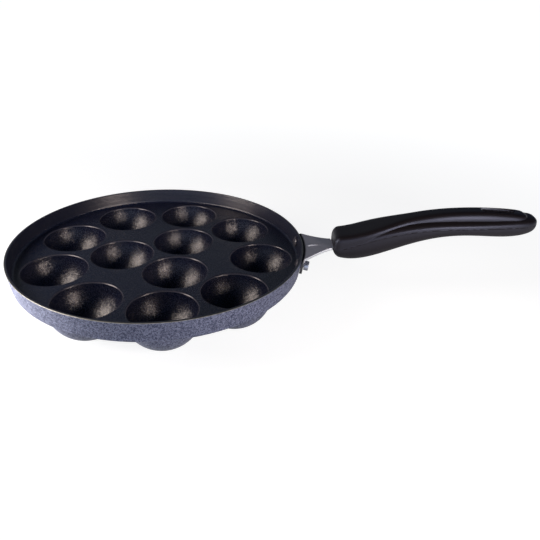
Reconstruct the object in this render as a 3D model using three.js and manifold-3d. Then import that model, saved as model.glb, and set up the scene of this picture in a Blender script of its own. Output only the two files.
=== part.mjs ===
// Paniyaram pan: a pressed aluminium plate with twelve round cavities, a stamped steel bracket
// riveted to its wall, and a moulded grip screwed onto the bracket's tang.
// Millimetres, +Z up, +X along the handle. The origin lies on the standing plane, under the
// middle of the overall length.

import * as THREE from 'three';
import { mergeVertices } from 'three/addons/utils/BufferGeometryUtils.js';
import Module from 'manifold-3d';

// Cavities of the pressed plate
const cavityRadius = 24.5; // inside of each half-round cavity
const cavityWall = 3.8; // metal under a cavity
const lipRadius = 1.2; // rounding of a cavity's mouth
const seatFlatRadius = 5; // flat under each cavity, which the pan stands on
const innerCount = 3; // cavities in the middle
const outerCount = 9; // cavities in the ring around them
const innerLand = 4.2; // plate left between two inner cavities
const outerLand = 6.5; // plate left between two outer cavities

// Plate and wall of the pan
const plateThickness = 4.6;
const wallThickness = 2;
const dishDepth = 12.1; // plate's top up to the rim
const wallLean = 2.4; // how far the wall leans out from its foot to the rim
const floorLand = 1.8; // plate left between an outer cavity's lip and the corner
const cornerRadius = 2; // inside corner between plate and wall
const footRadius = 1.6; // outside rounding under the wall
const rimChamfer = 0.4; // broken edges of the rim

// Bracket
const bracketThickness = 2;
const bendRadius = 1; // inside of the bend
const flangeDepth = 13.6; // bracket's top down to the flange's lower edge
const flangeCorner = 4; // rounded lower corners of the flange
const neckHalfWidth = 9;
const neckCorner = 2; // rounded shoulders where the neck ends at the grip
const neckSlope = THREE.MathUtils.degToRad(8.5);
const flareLength = 12.5; // neck's shoulders back to where its flaring edge turns
const flareRise = 4.5; // how far that turning point stands out from the neck's edge
const tangHalfWidth = 6.5;
const tangLength = 36; // part of the bracket inside the grip
const beadLength = 10; // pressed stiffening bead on the neck
const beadRadius = 1.8;
const beadHeight = 0.9;

// Rivets
const rivetAngle = THREE.MathUtils.degToRad(10); // either side of the handle's middle
const rivetSink = 1.1; // how far the heads reach down past the centre of the inside corner
const rivetEdge = 5; // rivet's axis to the flange's end
const rivetShankRadius = 1.8;
const rivetHeadRadius = 4.4;
const rivetHeadHeight = 2.2;
const rivetTailRadius = 3.8;
const rivetTailHeight = 3.6;
const rivetClearance = 0.6; // tails up to the underside of the neck

// Grip. Its four lines are Bezier curves whose control values are spread evenly from the front
// to the tip; heights are measured from the middle of the tang at the grip's front.
const gripLength = 158.4;
const gripStandoff = 23; // rim out to the grip's front
const gripTopLine = [11.4, 11.2, 31.8, 33, 33.8, 35.1, 29.9];
const gripSeamLine = [-0.4, 6.8, 23.6, 24, 18, 24.5, 24.1]; // widest line, the mould's parting
const gripBottomLine = [-6.3, -20.8, 2.8, 21.9, 18.6, 3.3, 19.3];
const gripHalfWidthLine = [13.2, 16.2, 11.1];
const gripFrontRadius = 5.5; // rounded edge of the front face
const gripEndLength = 19.3; // length over which the tip narrows
const gripEndRounding = 6.3; // length over which the tip thins
const endFullness = 3; // 2 makes the ends elliptic, more makes them blunter
const bellyFullness = 2.5; // the same for the sections below the parting line
const shoulderHeight = 5.4; // ledge beside the pad, above the parting line
const shoulderFullness = 3.1;
const padHalfWidth = 8.8;
const frontFullness = 6; // the same for the box-like front
const padFullness = 4;
const padSetBack = 8.1; // tip back to the pad's end
const padEndLength = 11.9; // length over which the pad's end narrows
const padEndRounding = 4.7; // length over which the pad's end comes down
const padStart = 22.2; // front to where the pad starts to narrow
const padNarrowing = 41.4; // length over which it narrows to its own width
const slotLength = 25; // hang slot through the pad
const slotWidth = 6.5;
const slotSetBack = 18.5; // tip back to the slot

// Screw, washer and insert that hold the grip
const screwSetBack = 12.3; // tang's end back to the screw
const screwRadius = 2.5;
const screwHeadRadius = 4.4;
const screwHeadHeight = 3;
const recessWidth = 1.2; // cross recess in the head
const recessSpan = 5;
const recessDepth = 1.6;
const screwEngagement = 6.2; // screw inside the insert
const screwFloor = 4; // grip left between tang and washer
const washerRadius = 4.6;
const washerThickness = 1.2;
const washerSplit = 1;
const insertRadius = 4;
const insertLength = 7;
const insertGrooveDepth = 0.6; // groove that locks the insert in the moulding

const seatGap = 0.3; // air between parts that rest on, or pass through, each other
const overcut = 2; // how far a cutter runs past what it cuts

// Facets
const panSegments = 72;
const cavitySegments = 20;
const cavitySteps = 5;
const fastenerSegments = 20;
const lipSteps = 2;
const arcSteps = 4;

// Sizes that follow from the ones above
const innerRingRadius = (cavityRadius + innerLand / 2) / Math.sin(Math.PI / innerCount);
const outerRingRadius = (cavityRadius + outerLand / 2) / Math.sin(Math.PI / outerCount);
const floorRadius = outerRingRadius + cavityRadius + lipRadius + floorLand;
const wallFootRadius = floorRadius + cornerRadius + wallThickness;
const rimRadius = wallFootRadius + wallLean;
const bulgeRadius = cavityRadius + cavityWall;
const plateTop = Math.sqrt(bulgeRadius ** 2 - seatFlatRadius ** 2);
const plateBottom = plateTop - plateThickness;
const rimTop = plateTop + dishDepth;
const wallAngle = Math.atan2(wallLean, rimTop - plateBottom);
const rivetHeight = plateTop + cornerRadius + rivetHeadRadius - rivetSink;
const bracketTop = rivetHeight + rivetTailRadius + rivetClearance + bracketThickness;
const flangeFoot = bracketTop - flangeDepth;
const flangeHalfWidth = rimRadius * Math.sin(rivetAngle) + rivetEdge;
const gripFront = rimRadius + gripStandoff;
const gripTip = gripFront + gripLength;
const panX = (rimRadius - gripTip) / 2;

const wasm = await Module();
wasm.setup();

// Closed solid from a closed geometry: corners are merged and collapsed triangles dropped.
function solid(geometry) {
  const bare = geometry.clone();
  bare.deleteAttribute('normal');
  bare.deleteAttribute('uv');
  const merged = mergeVertices(bare, 1e-4);
  const corners = merged.index.array;
  const triangles = [];
  for (let i = 0; i < corners.length; i += 3) {
    const [a, b, c] = corners.slice(i, i + 3);
    if (a !== b && b !== c && c !== a) triangles.push(a, b, c);
  }
  return new wasm.Manifold(new wasm.Mesh({
    numProp: 3,
    vertProperties: new Float32Array(merged.attributes.position.array),
    triVerts: new Uint32Array(triangles),
  }));
}

// Named mesh from a finished solid.
function piece(name, body, color, roughness, metalness) {
  const { vertProperties, triVerts } = body.getMesh();
  const geometry = new THREE.BufferGeometry();
  geometry.setAttribute('position', new THREE.BufferAttribute(vertProperties, 3));
  geometry.setIndex(new THREE.BufferAttribute(triVerts, 1));
  geometry.computeVertexNormals();
  const material = new THREE.MeshStandardMaterial({ color, roughness, metalness, flatShading: true });
  const mesh = new THREE.Mesh(geometry, material);
  mesh.name = name;
  return mesh;
}

// Points on an arc around (x, y), from one angle to another.
function arc(x, y, radius, from, to, steps = arcSteps) {
  return Array.from({ length: steps + 1 }, (_, i) => {
    const angle = from + (to - from) * i / steps;
    return new THREE.Vector2(x + radius * Math.cos(angle), y + radius * Math.sin(angle));
  });
}

const point = (x, y) => new THREE.Vector2(x, y);

// Profile of radius and height turned about the Z axis. A profile that goes counter-clockwise
// gives faces that point out.
function turned(profile, segments) {
  const start = Math.PI / segments;
  return new THREE.LatheGeometry(profile, segments, start).rotateX(Math.PI / 2);
}

// Outline in X and Y raised from one height to another.
function raised(shape, from, to) {
  const settings = { depth: to - from, bevelEnabled: false, curveSegments: 8 };
  return new THREE.ExtrudeGeometry(shape, settings).translate(0, 0, from);
}

// Round bar along Z between two heights.
function bar(radius, from, to, segments = fastenerSegments) {
  const profile = [point(0, from), point(radius, from), point(radius, to), point(0, to)];
  return turned(profile, segments);
}

// Outside radius of the pan's wall at a height.
const wallRadius = (z) => wallFootRadius + (z - plateBottom) * Math.tan(wallAngle);

// Plate with its leaning wall, as one turned profile with a rounded foot and an inside corner.
function dish() {
  const roundShare = (1 - Math.sin(wallAngle)) / Math.cos(wallAngle);
  const footX = wallFootRadius - footRadius * roundShare;
  const cornerX = wallRadius(plateTop) - wallThickness - cornerRadius * roundShare;
  const rimInside = rimRadius - wallThickness;
  const profile = [
    point(0, plateBottom),
    ...arc(footX, plateBottom + footRadius, footRadius, -Math.PI / 2, -wallAngle),
    point(wallRadius(rimTop - rimChamfer), rimTop - rimChamfer),
    point(rimRadius - rimChamfer, rimTop),
    point(rimInside + rimChamfer, rimTop),
    point(wallRadius(rimTop - rimChamfer) - wallThickness, rimTop - rimChamfer),
    ...arc(cornerX, plateTop + cornerRadius, cornerRadius, -wallAngle, -Math.PI / 2),
    point(0, plateTop),
  ];
  return solid(turned(profile, panSegments));
}

// Metal of one bulge under the plate: a ball cut flat where the pan stands.
function bulge() {
  const joinHeight = (plateTop + plateBottom) / 2;
  const from = Math.asin(-plateTop / bulgeRadius);
  const to = Math.asin((joinHeight - plateTop) / bulgeRadius);
  const profile = [
    point(0, 0),
    ...arc(0, plateTop, bulgeRadius, from, to, cavitySteps),
    point(0, joinHeight),
  ];
  return solid(turned(profile, cavitySegments));
}

// Space inside one cavity: a half ball that flares out over the rounded lip.
function hollow() {
  const lipReach = cavityRadius + lipRadius;
  const lipAngle = Math.asin(lipRadius / lipReach);
  const lipX = lipReach * Math.cos(lipAngle);
  const profile = [
    ...arc(0, plateTop, cavityRadius, -Math.PI / 2, -lipAngle, cavitySteps),
    ...arc(lipX, plateTop - lipRadius, lipRadius, Math.PI - lipAngle, Math.PI / 2, lipSteps).slice(1),
    point(lipX, plateTop + overcut),
    point(0, plateTop + overcut),
  ];
  profile[0].x = 0;
  return solid(turned(profile, cavitySegments));
}

// Centres of the twelve cavities: a ring with one cavity facing the handle, and the middle ones
// turned half a step against it.
function cavityCentres() {
  const centres = [];
  for (let i = 0; i < outerCount; i += 1) {
    const angle = 2 * Math.PI * i / outerCount;
    centres.push([outerRingRadius * Math.cos(angle), outerRingRadius * Math.sin(angle), 0]);
  }
  for (let i = 0; i < innerCount; i += 1) {
    const angle = 2 * Math.PI * (i + 0.5) / innerCount;
    centres.push([innerRingRadius * Math.cos(angle), innerRingRadius * Math.sin(angle), 0]);
  }
  return centres;
}

// Where a rivet sits: on the outside of the wall, with its own X axis square to the wall.
function rivetPlace(side) {
  const around = new THREE.Matrix4().makeRotationZ(side * rivetAngle);
  const out = new THREE.Matrix4().makeTranslation(wallRadius(rivetHeight), 0, rivetHeight);
  const lean = new THREE.Matrix4().makeRotationY(wallAngle);
  return around.multiply(out).multiply(lean);
}

const sides = { rivet_near: -1, rivet_far: 1 };

// Holes for both rivets, through the wall and the flange.
function rivetHoles() {
  const reach = wallThickness + bracketThickness + overcut;
  const holes = Object.values(sides).map((side) => {
    const hole = bar(rivetShankRadius + seatGap, -reach, reach).rotateY(Math.PI / 2);
    return solid(hole.applyMatrix4(rivetPlace(side)));
  });
  return holes[0].add(holes[1]);
}

function panBody() {
  const bulgeSolid = bulge();
  const hollowSolid = hollow();
  let body = dish();
  for (const centre of cavityCentres()) body = body.add(bulgeSolid.translate(centre));
  for (const centre of cavityCentres()) body = body.subtract(hollowSolid.translate(centre));
  return body.subtract(rivetHoles());
}

// Rivet along X from its domed head inside the pan to its plain tail outside the flange.
function rivet() {
  const headSeat = -wallThickness * Math.cos(wallAngle) - seatGap;
  const tailSeat = bracketThickness + 2 * seatGap;
  const tailEnd = tailSeat + rivetTailHeight;
  const dome = arc(0, 0, 1, -Math.PI / 2, 0);
  dome[0].x = 0;
  const profile = [
    ...dome.map((p) => point(p.x * rivetHeadRadius, headSeat + p.y * rivetHeadHeight)),
    point(rivetShankRadius, headSeat),
    point(rivetShankRadius, tailSeat),
    point(rivetTailRadius, tailSeat),
    point(rivetTailRadius, tailEnd),
    point(0, tailEnd),
  ];
  return solid(turned(profile, fastenerSegments).rotateY(Math.PI / 2));
}

// Bend of the bracket: where its centre lies, and where its outer arc ends on the neck's top.
function bend() {
  const outside = bendRadius + bracketThickness;
  const z = bracketTop - outside * Math.cos(neckSlope);
  const startZ = z + outside * Math.sin(wallAngle);
  const x = wallRadius(startZ) + seatGap / Math.cos(wallAngle) + outside * Math.cos(wallAngle);
  const topX = x - outside * Math.sin(neckSlope);
  return { x, z, outside, topX };
}

// Height of the middle of the neck and tang, at a distance from the pan's axis.
function tangHeight(x) {
  return bracketTop + (x - bend().topX) * Math.tan(neckSlope) - bracketThickness / 2 / Math.cos(neckSlope);
}

// Side view of the bracket, turned about the pan's axis so that its flange follows the wall.
function bracketSweep() {
  const { x, z, outside } = bend();
  const inside = wallRadius(flangeFoot) + seatGap / Math.cos(wallAngle);
  const thick = bracketThickness / Math.cos(wallAngle);
  const end = gripFront + tangLength;
  const halfThick = bracketThickness / 2 / Math.cos(neckSlope);
  const wallSide = Math.PI - wallAngle;
  const neckSide = Math.PI / 2 + neckSlope;
  const profile = [
    point(inside, flangeFoot),
    point(inside + thick, flangeFoot),
    ...arc(x, z, bendRadius, wallSide, neckSide),
    point(end, tangHeight(end) - halfThick),
    point(end, tangHeight(end) + halfThick),
    ...arc(x, z, outside, neckSide, wallSide),
    point(inside, flangeFoot),
  ];
  return solid(turned(profile, panSegments));
}

// Plan of the bracket: flange, flaring neck with rounded shoulders, and the narrower tang.
function bracketPlan() {
  const shoulder = gripFront - seatGap;
  const root = wallFootRadius - flangeCorner;
  const flareX = shoulder - neckCorner;
  const turnX = shoulder - flareLength;
  const turnY = neckHalfWidth + flareRise;
  const end = gripFront + tangLength + overcut;
  const plan = new THREE.Shape();
  plan.moveTo(root, -flangeHalfWidth);
  plan.lineTo(rimRadius - flangeCorner / 2, -flangeHalfWidth);
  plan.quadraticCurveTo(turnX, -turnY, flareX, -neckHalfWidth);
  plan.quadraticCurveTo(shoulder, -neckHalfWidth, shoulder, neckCorner - neckHalfWidth);
  plan.lineTo(shoulder, -tangHalfWidth);
  plan.lineTo(end, -tangHalfWidth);
  plan.lineTo(end, tangHalfWidth);
  plan.lineTo(shoulder, tangHalfWidth);
  plan.lineTo(shoulder, neckHalfWidth - neckCorner);
  plan.quadraticCurveTo(shoulder, neckHalfWidth, flareX, neckHalfWidth);
  plan.quadraticCurveTo(turnX, turnY, rimRadius - flangeCorner / 2, flangeHalfWidth);
  plan.lineTo(root, flangeHalfWidth);
  plan.closePath();
  return solid(raised(plan, 0, tangHeight(end) + overcut));
}

// View of the bracket along the handle, which rounds the flange's lower corners.
function bracketFront() {
  const end = gripFront + tangLength + overcut;
  const top = tangHeight(end) + overcut;
  const front = new THREE.Shape();
  front.moveTo(flangeHalfWidth, top);
  front.lineTo(-flangeHalfWidth, top);
  front.lineTo(-flangeHalfWidth, flangeFoot + flangeCorner);
  front.quadraticCurveTo(-flangeHalfWidth, flangeFoot, flangeCorner - flangeHalfWidth, flangeFoot);
  front.lineTo(flangeHalfWidth - flangeCorner, flangeFoot);
  front.quadraticCurveTo(flangeHalfWidth, flangeFoot, flangeHalfWidth, flangeFoot + flangeCorner);
  front.closePath();
  const alongX = new THREE.Matrix4().set(0, 0, 1, 0, 1, 0, 0, 0, 0, 1, 0, 0, 0, 0, 0, 1);
  return solid(raised(front, 0, end).applyMatrix4(alongX));
}

// Bead pressed up along the neck: a long low dome in the tang's own frame.
function bead() {
  const middle = bend().x + beadLength / 2;
  const dome = new THREE.SphereGeometry(1, 16, 8).rotateX(Math.PI / 2);
  dome.scale(beadLength / 2, beadRadius, beadHeight);
  dome.rotateY(-neckSlope);
  return solid(dome.translate(middle, 0, tangHeight(middle) + bracketThickness / 2));
}

// Place on the tang where the screw crosses it, with Z square to the tang.
function screwPlace() {
  const x = gripFront + tangLength - screwSetBack;
  const move = new THREE.Matrix4().makeTranslation(x, 0, tangHeight(x));
  return move.multiply(new THREE.Matrix4().makeRotationY(-neckSlope));
}

// Hole along the screw between two heights over the middle of the tang.
function screwHole(radius, from, to) {
  return solid(bar(radius, from, to).applyMatrix4(screwPlace()));
}

function bracketBody() {
  const pressed = bead();
  const sheet = bracketSweep().intersect(bracketPlan()).intersect(bracketFront());
  const reach = bracketThickness + overcut;
  return sheet
    .add(pressed)
    .subtract(pressed.translate([0, 0, -bracketThickness]))
    .subtract(rivetHoles())
    .subtract(screwHole(screwRadius + seatGap, -reach, reach));
}

// Value of a Bezier line with evenly spread control values, by repeated halving between them.
function bezier(controls, share) {
  let row = controls;
  while (row.length > 1) {
    row = row.slice(1).map((next, i) => row[i] + (next - row[i]) * share);
  }
  return row[0];
}

// Share of the full size that is left at x when a form closes at its end over a given length.
function roundedEnd(x, end, length, fullness) {
  const share = THREE.MathUtils.clamp((x - end + length) / length, 0, 1);
  return (1 - share ** fullness) ** (1 / fullness);
}

// Distance from the middle to a rounded outline of two half sizes: |c/w|^n + |s/h|^n = 1.
function outlineRadius(angle, halfWidth, halfHeight, fullness) {
  const across = Math.abs(Math.cos(angle)) / halfWidth;
  const up = Math.abs(Math.sin(angle)) / halfHeight;
  return (across ** fullness + up ** fullness) ** (-1 / fullness);
}

// Half sizes of the grip's section at a distance from its front.
function gripSizes(x) {
  const share = x / gripLength;
  const padEnd = gripLength - padSetBack;
  const back = Math.max(gripFrontRadius - x, 0);
  const inset = gripFrontRadius - Math.sqrt(gripFrontRadius ** 2 - back ** 2);
  const seam = bezier(gripSeamLine, share);
  const width = bezier(gripHalfWidthLine, share) - inset;
  const thinning = roundedEnd(x, gripLength, gripEndRounding, endFullness);
  const shoulder = shoulderHeight * thinning;
  const narrowing = THREE.MathUtils.smoothstep(x, padStart, padStart + padNarrowing);
  const padWidth = width + (padHalfWidth - width) * narrowing;
  const padHeight = bezier(gripTopLine, share) - seam - inset;
  const padDrop = roundedEnd(x, padEnd, padEndRounding, 2);
  return {
    seam,
    shoulder,
    width: width * roundedEnd(x, gripLength, gripEndLength, endFullness),
    below: (seam - bezier(gripBottomLine, share) - inset) * thinning,
    padWidth: Math.max(padWidth * roundedEnd(x, padEnd, padEndLength, endFullness), 0.01),
    padHeight: shoulder + (padHeight - shoulder) * padDrop,
    padShape: THREE.MathUtils.lerp(frontFullness, padFullness, narrowing),
  };
}

// Angle at which the pad's side meets the shoulder, found by halving.
function ledgeAngle(sizes) {
  let low = 0.06;
  let high = Math.PI / 2 - 0.06;
  for (let i = 0; i < 30; i += 1) {
    const angle = (low + high) / 2;
    const body = outlineRadius(angle, sizes.width, sizes.shoulder, shoulderFullness);
    const pad = outlineRadius(angle, sizes.padWidth, sizes.padHeight, sizes.padShape);
    if (pad > body) high = angle;
    else low = angle;
  }
  return high;
}

// Closed outline of the grip at x: belly, shoulder, pad, shoulder. The corners between shoulder
// and pad keep their place in the list, so the ledge runs along one edge of the loft.
function gripSection(x) {
  const sizes = gripSizes(x);
  const ledge = ledgeAngle(sizes);
  const spans = [
    { from: -Math.PI, to: 0, steps: 12 },
    { from: 0, to: ledge, steps: 3 },
    { from: ledge, to: Math.PI - ledge, steps: 10 },
    { from: Math.PI - ledge, to: Math.PI, steps: 3 },
  ];
  const { width, below, shoulder, padWidth, padHeight, padShape } = sizes;
  const points = [];
  for (const { from, to, steps } of spans) {
    for (let i = 0; i < steps; i += 1) {
      const angle = from + (to - from) * i / steps;
      const body = angle < 0
        ? outlineRadius(angle, width, below, bellyFullness)
        : outlineRadius(angle, width, shoulder, shoulderFullness);
      const pad = angle < 0 ? 0 : outlineRadius(angle, padWidth, padHeight, padShape);
      const reach = Math.max(body, pad);
      points.push([x, reach * Math.cos(angle), sizes.seam + reach * Math.sin(angle)]);
    }
  }
  return points;
}

// Stations along the grip, closer together where its ends are rounded.
function gripStations() {
  const padEnd = gripLength - padSetBack;
  const padTurn = padEnd - padEndLength;
  const quarter = (i, steps) => Math.PI / 2 * i / steps;
  const stations = [];
  for (let i = 0; i <= 3; i += 1) stations.push(gripFrontRadius * (1 - Math.cos(quarter(i, 3))));
  for (let i = 1; i <= 15; i += 1) stations.push(THREE.MathUtils.lerp(gripFrontRadius, padTurn, i / 15));
  for (let i = 1; i <= 5; i += 1) stations.push(padTurn + padEndLength * Math.sin(quarter(i, 5)));
  for (let i = 1; i <= 5; i += 1) stations.push(padEnd + padSetBack * Math.sin(quarter(i, 5)));
  stations[stations.length - 1] -= 0.02;
  return stations;
}

// Skin over sections of equal count that follow each other along X, closed at both ends.
function loft(sections) {
  const count = sections[0].length;
  const positions = sections.flat(2);
  const index = [];
  for (let i = 0; i + 1 < sections.length; i += 1) {
    for (let j = 0; j < count; j += 1) {
      const a = i * count + j;
      const b = i * count + (j + 1) % count;
      index.push(a, b, a + count, b, b + count, a + count);
    }
  }
  const last = (sections.length - 1) * count;
  for (let j = 1; j + 1 < count; j += 1) {
    index.push(0, j + 1, j);
    index.push(last, last + j, last + j + 1);
  }
  const geometry = new THREE.BufferGeometry();
  geometry.setAttribute('position', new THREE.Float32BufferAttribute(positions, 3));
  geometry.setIndex(index);
  return geometry;
}

// Socket that takes the tang, with play all round.
function tangSocket() {
  const length = tangLength / Math.cos(neckSlope) + seatGap + overcut;
  const height = bracketThickness + 2 * seatGap;
  const box = new THREE.BoxGeometry(length, 2 * (tangHalfWidth + seatGap), height);
  box.translate(length / 2 - overcut, 0, 0).rotateY(-neckSlope);
  return solid(box.translate(gripFront, 0, tangHeight(gripFront)));
}

// Long hole with round ends for hanging the pan up.
function hangSlot() {
  const radius = slotWidth / 2;
  const end = gripTip - slotSetBack - radius;
  const start = end - slotLength + slotWidth;
  const outline = new THREE.Shape();
  outline.absarc(end, 0, radius, -Math.PI / 2, Math.PI / 2);
  outline.absarc(start, 0, radius, Math.PI / 2, 1.5 * Math.PI);
  const top = Math.max(...gripTopLine) + tangHeight(gripFront);
  return solid(raised(outline, 0, top + overcut));
}

// Heights over the middle of the tang, along the screw, from the washer's seat up.
const socketRoof = bracketThickness / 2 + seatGap;
const washerSeat = -socketRoof - screwFloor;
const headSeat = washerSeat - washerThickness - 2 * seatGap;
const insertFoot = socketRoof + seatGap;
const pocketRoof = insertFoot + insertLength + seatGap;

function gripBody() {
  const sections = gripStations().map(gripSection);
  const counterbore = washerRadius + 2 * seatGap;
  const belowGrip = washerSeat - 2 * gripFrontRadius - 2 * screwHeadHeight - overcut;
  return solid(loft(sections).translate(gripFront, 0, tangHeight(gripFront)))
    .subtract(tangSocket())
    .subtract(hangSlot())
    .subtract(screwHole(screwRadius + seatGap, washerSeat - overcut, 0))
    .subtract(screwHole(counterbore, belowGrip, washerSeat))
    .subtract(screwHole(insertRadius + seatGap, 0, pocketRoof));
}

// Pan-head screw with a cross recess, pointing up along Z.
function screw() {
  const headFoot = headSeat - screwHeadHeight;
  const dome = arc(0, 0, 1, -Math.PI / 2, 0);
  dome[0].x = 0;
  const profile = [
    ...dome.map((p) => point(p.x * screwHeadRadius, headSeat + p.y * screwHeadHeight)),
    point(screwRadius, headSeat),
    point(screwRadius, insertFoot + screwEngagement),
    point(0, insertFoot + screwEngagement),
  ];
  const recess = (long, wide) => {
    const box = new THREE.BoxGeometry(long, wide, 2 * recessDepth);
    return solid(box.translate(0, 0, headFoot));
  };
  return solid(turned(profile, fastenerSegments))
    .subtract(recess(recessSpan, recessWidth).add(recess(recessWidth, recessSpan)));
}

// Ring along Z between two radii and two heights.
function ring(inside, outside, from, to) {
  const profile = [
    point(inside, from),
    point(outside, from),
    point(outside, to),
    point(inside, to),
    point(inside, from),
  ];
  return solid(turned(profile, fastenerSegments));
}

// Spring washer, split on one side.
function washer() {
  const top = washerSeat - seatGap;
  const split = new THREE.BoxGeometry(washerRadius + overcut, washerSplit, 4 * washerThickness);
  split.translate((washerRadius + overcut) / 2, 0, top);
  return ring(screwRadius + seatGap, washerRadius, top - washerThickness, top).subtract(solid(split));
}

// Brass insert with a groove round its middle.
function insert() {
  const top = insertFoot + insertLength;
  const third = insertLength / 3;
  const groove = ring(
    insertRadius - insertGrooveDepth,
    insertRadius + overcut,
    insertFoot + third,
    top - third,
  );
  return ring(screwRadius + seatGap, insertRadius, insertFoot, top).subtract(groove);
}

// Assembly, built about the pan's axis and then moved so that the origin is under its middle.
const pan = new THREE.Group();
pan.position.x = panX;
pan.add(piece('pan_body', panBody(), 0x2b2e36, 0.45, 0.3));
pan.add(piece('handle_bracket', bracketBody(), 0x7c7f88, 0.42, 0.7));
for (const [name, side] of Object.entries(sides)) {
  const mesh = piece(name, rivet(), 0xb4b8c2, 0.35, 0.9);
  mesh.applyMatrix4(rivetPlace(side));
  pan.add(mesh);
}
pan.add(piece('handle_grip', gripBody(), 0x1b1a1b, 0.38, 0));

const fastening = new THREE.Group();
fastening.applyMatrix4(screwPlace());
fastening.add(piece('grip_screw', screw(), 0x9a9ca3, 0.35, 0.9));
fastening.add(piece('lock_washer', washer(), 0x85878d, 0.4, 0.9));
fastening.add(piece('threaded_insert', insert(), 0xb08d4f, 0.35, 0.9));
pan.add(fastening);

const part = new THREE.Group();
part.add(pan);

export default part;
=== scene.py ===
"""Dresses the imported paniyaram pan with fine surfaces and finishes, and sets a studio round it."""

import math
from functools import partial
from types import SimpleNamespace

import bmesh
import bpy
import numpy as np
from bpy.props import FloatProperty, FloatVectorProperty, IntProperty, PointerProperty
from mathutils import Matrix, Vector


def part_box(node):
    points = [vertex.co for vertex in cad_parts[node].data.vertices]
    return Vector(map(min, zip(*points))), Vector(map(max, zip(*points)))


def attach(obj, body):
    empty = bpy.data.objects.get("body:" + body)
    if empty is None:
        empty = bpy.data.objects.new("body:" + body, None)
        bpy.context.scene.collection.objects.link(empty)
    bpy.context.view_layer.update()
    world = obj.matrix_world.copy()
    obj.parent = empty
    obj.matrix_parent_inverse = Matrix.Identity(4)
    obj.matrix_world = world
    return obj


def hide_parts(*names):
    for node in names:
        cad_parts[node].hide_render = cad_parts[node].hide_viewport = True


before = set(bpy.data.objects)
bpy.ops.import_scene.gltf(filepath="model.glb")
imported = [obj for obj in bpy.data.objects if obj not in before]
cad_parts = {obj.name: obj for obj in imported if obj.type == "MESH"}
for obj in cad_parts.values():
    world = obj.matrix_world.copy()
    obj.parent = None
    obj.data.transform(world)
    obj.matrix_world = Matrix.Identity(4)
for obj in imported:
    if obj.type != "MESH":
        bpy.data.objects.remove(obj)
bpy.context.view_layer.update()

bl_info = {
    "name": "Paniyaram pan",
    "version": (1, 0, 0),
    "blender": (4, 5, 0),
    "location": "View3D > Sidebar > Pan",
    "description": "Builds the fine pieces of a paniyaram pan over its packed solids",
    "category": "Object",
}

MM = 0.001
MERGE = 0.002 * MM  # points closer than this are one point
QUARTER = math.pi / 2
SHARP = math.radians(35)  # edges that turn more than this stay sharp

# Steps in which each stretch of a surface is drawn.
STEPS = SimpleNamespace(
    ball=30, lip=7, seat=3, bulge=18, fillet=5, corner=10, rim=5, wall=8,
    dome=14, tail=6, tail_foot=4,
    flange_foot=8, flange=21, bend=16, neck=59, shoulder=8, tang=19, tang_end=3,
    edge=3, sheet=48, socket=4,
    grip_front=12, grip=90, pad_end=28, tip=28, belly=72, side=16, pad=60, slot_end=24, slot_mouth=8)
BOWL_SEGMENTS = 80
WALL_SEGMENTS = 240
RIVET_SEGMENTS = 64
APRON = 0.3 * MM  # narrow flat ring that keeps a rounding's shading off the flat plate

# How far the shapes that are cut out of a piece reach past its surface.
PAST = SimpleNamespace(slot=5 * MM, socket=2 * MM, bore=30 * MM, recess=MM)


def linear(code):
    """Linear colour of an sRGB hex value."""
    value = np.array([int(code[i:i + 2], 16) for i in (1, 3, 5)]) / 255
    curved = ((value + 0.055) / 1.055) ** 2.4
    return tuple(float(v) for v in np.where(value <= 0.04045, value / 12.92, curved)) + (1.0,)


def amount(name, value, words, **more):
    """Property that holds a number."""
    return FloatProperty(name=name, description=words, default=value, **more)


def length(name, millimetres, words):
    """Property that holds a length."""
    return amount(name, millimetres * MM, words, unit="LENGTH", precision=5)


def angle(name, degrees, words):
    """Property that holds an angle."""
    return amount(name, math.radians(degrees), words, unit="ROTATION")


def spot(name, metres, words):
    """Property that holds a place."""
    return FloatVectorProperty(name=name, description=words, default=metres, unit="LENGTH")


def line(name, values, words):
    """Property that holds the control values of a Bezier line, in millimetres."""
    return FloatVectorProperty(name=name, description=words, default=values, size=len(values))


def colour(name, code, words):
    """Property that holds a colour, given as an sRGB hex value."""
    return FloatVectorProperty(name=name, description=words, default=linear(code), size=4,
                               subtype="COLOR", min=0, max=1)


def tint(name, light, words):
    """Property that holds the linear colour of a lamp."""
    return FloatVectorProperty(name=name, description=words, default=light,
                               subtype="COLOR", min=0, max=1)


class PanSizes(bpy.types.PropertyGroup):
    """Sizes of the pressed pan."""

    cavity_radius: length("Cavity radius", 24.5, "Inside of each half-round cavity")
    cavity_wall: length("Cavity wall", 3.8, "Metal under a cavity")
    lip_radius: length("Lip radius", 1.2, "Rounding of a cavity's mouth")
    seat_radius: length("Seat radius", 5, "Flat under each cavity, which the pan stands on")
    inner_count: IntProperty(name="Inner cavities", description="Cavities in the middle", default=3)
    outer_count: IntProperty(name="Outer cavities", description="Cavities in their ring", default=9)
    inner_land: length("Inner land", 4.2, "Plate left between two inner cavities")
    outer_land: length("Outer land", 6.5, "Plate left between two outer cavities")
    plate_thickness: length("Plate thickness", 4.6, "Thickness of the plate between the cavities")
    wall_thickness: length("Wall thickness", 2, "Thickness of the wall round the plate")
    dish_depth: length("Dish depth", 12.1, "Plate's top up to the rim")
    wall_lean: length("Wall lean", 2.4, "How far the wall leans out from its foot to the rim")
    floor_land: length("Floor land", 1.8, "Plate left between an outer lip and the corner")
    corner_radius: length("Corner radius", 2, "Inside corner between plate and wall")
    foot_radius: length("Foot radius", 1.6, "Outside rounding under the wall")
    rim_radius: length("Rim rounding", 0.5, "Broken edges of the rim")
    bare_width: length("Bare width", 0.45, "Width of the rim's top that the coat leaves bare")
    bulge_fillet: length("Bulge fillet", 1.5, "Hollow rounding between a bulge and the plate")


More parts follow.
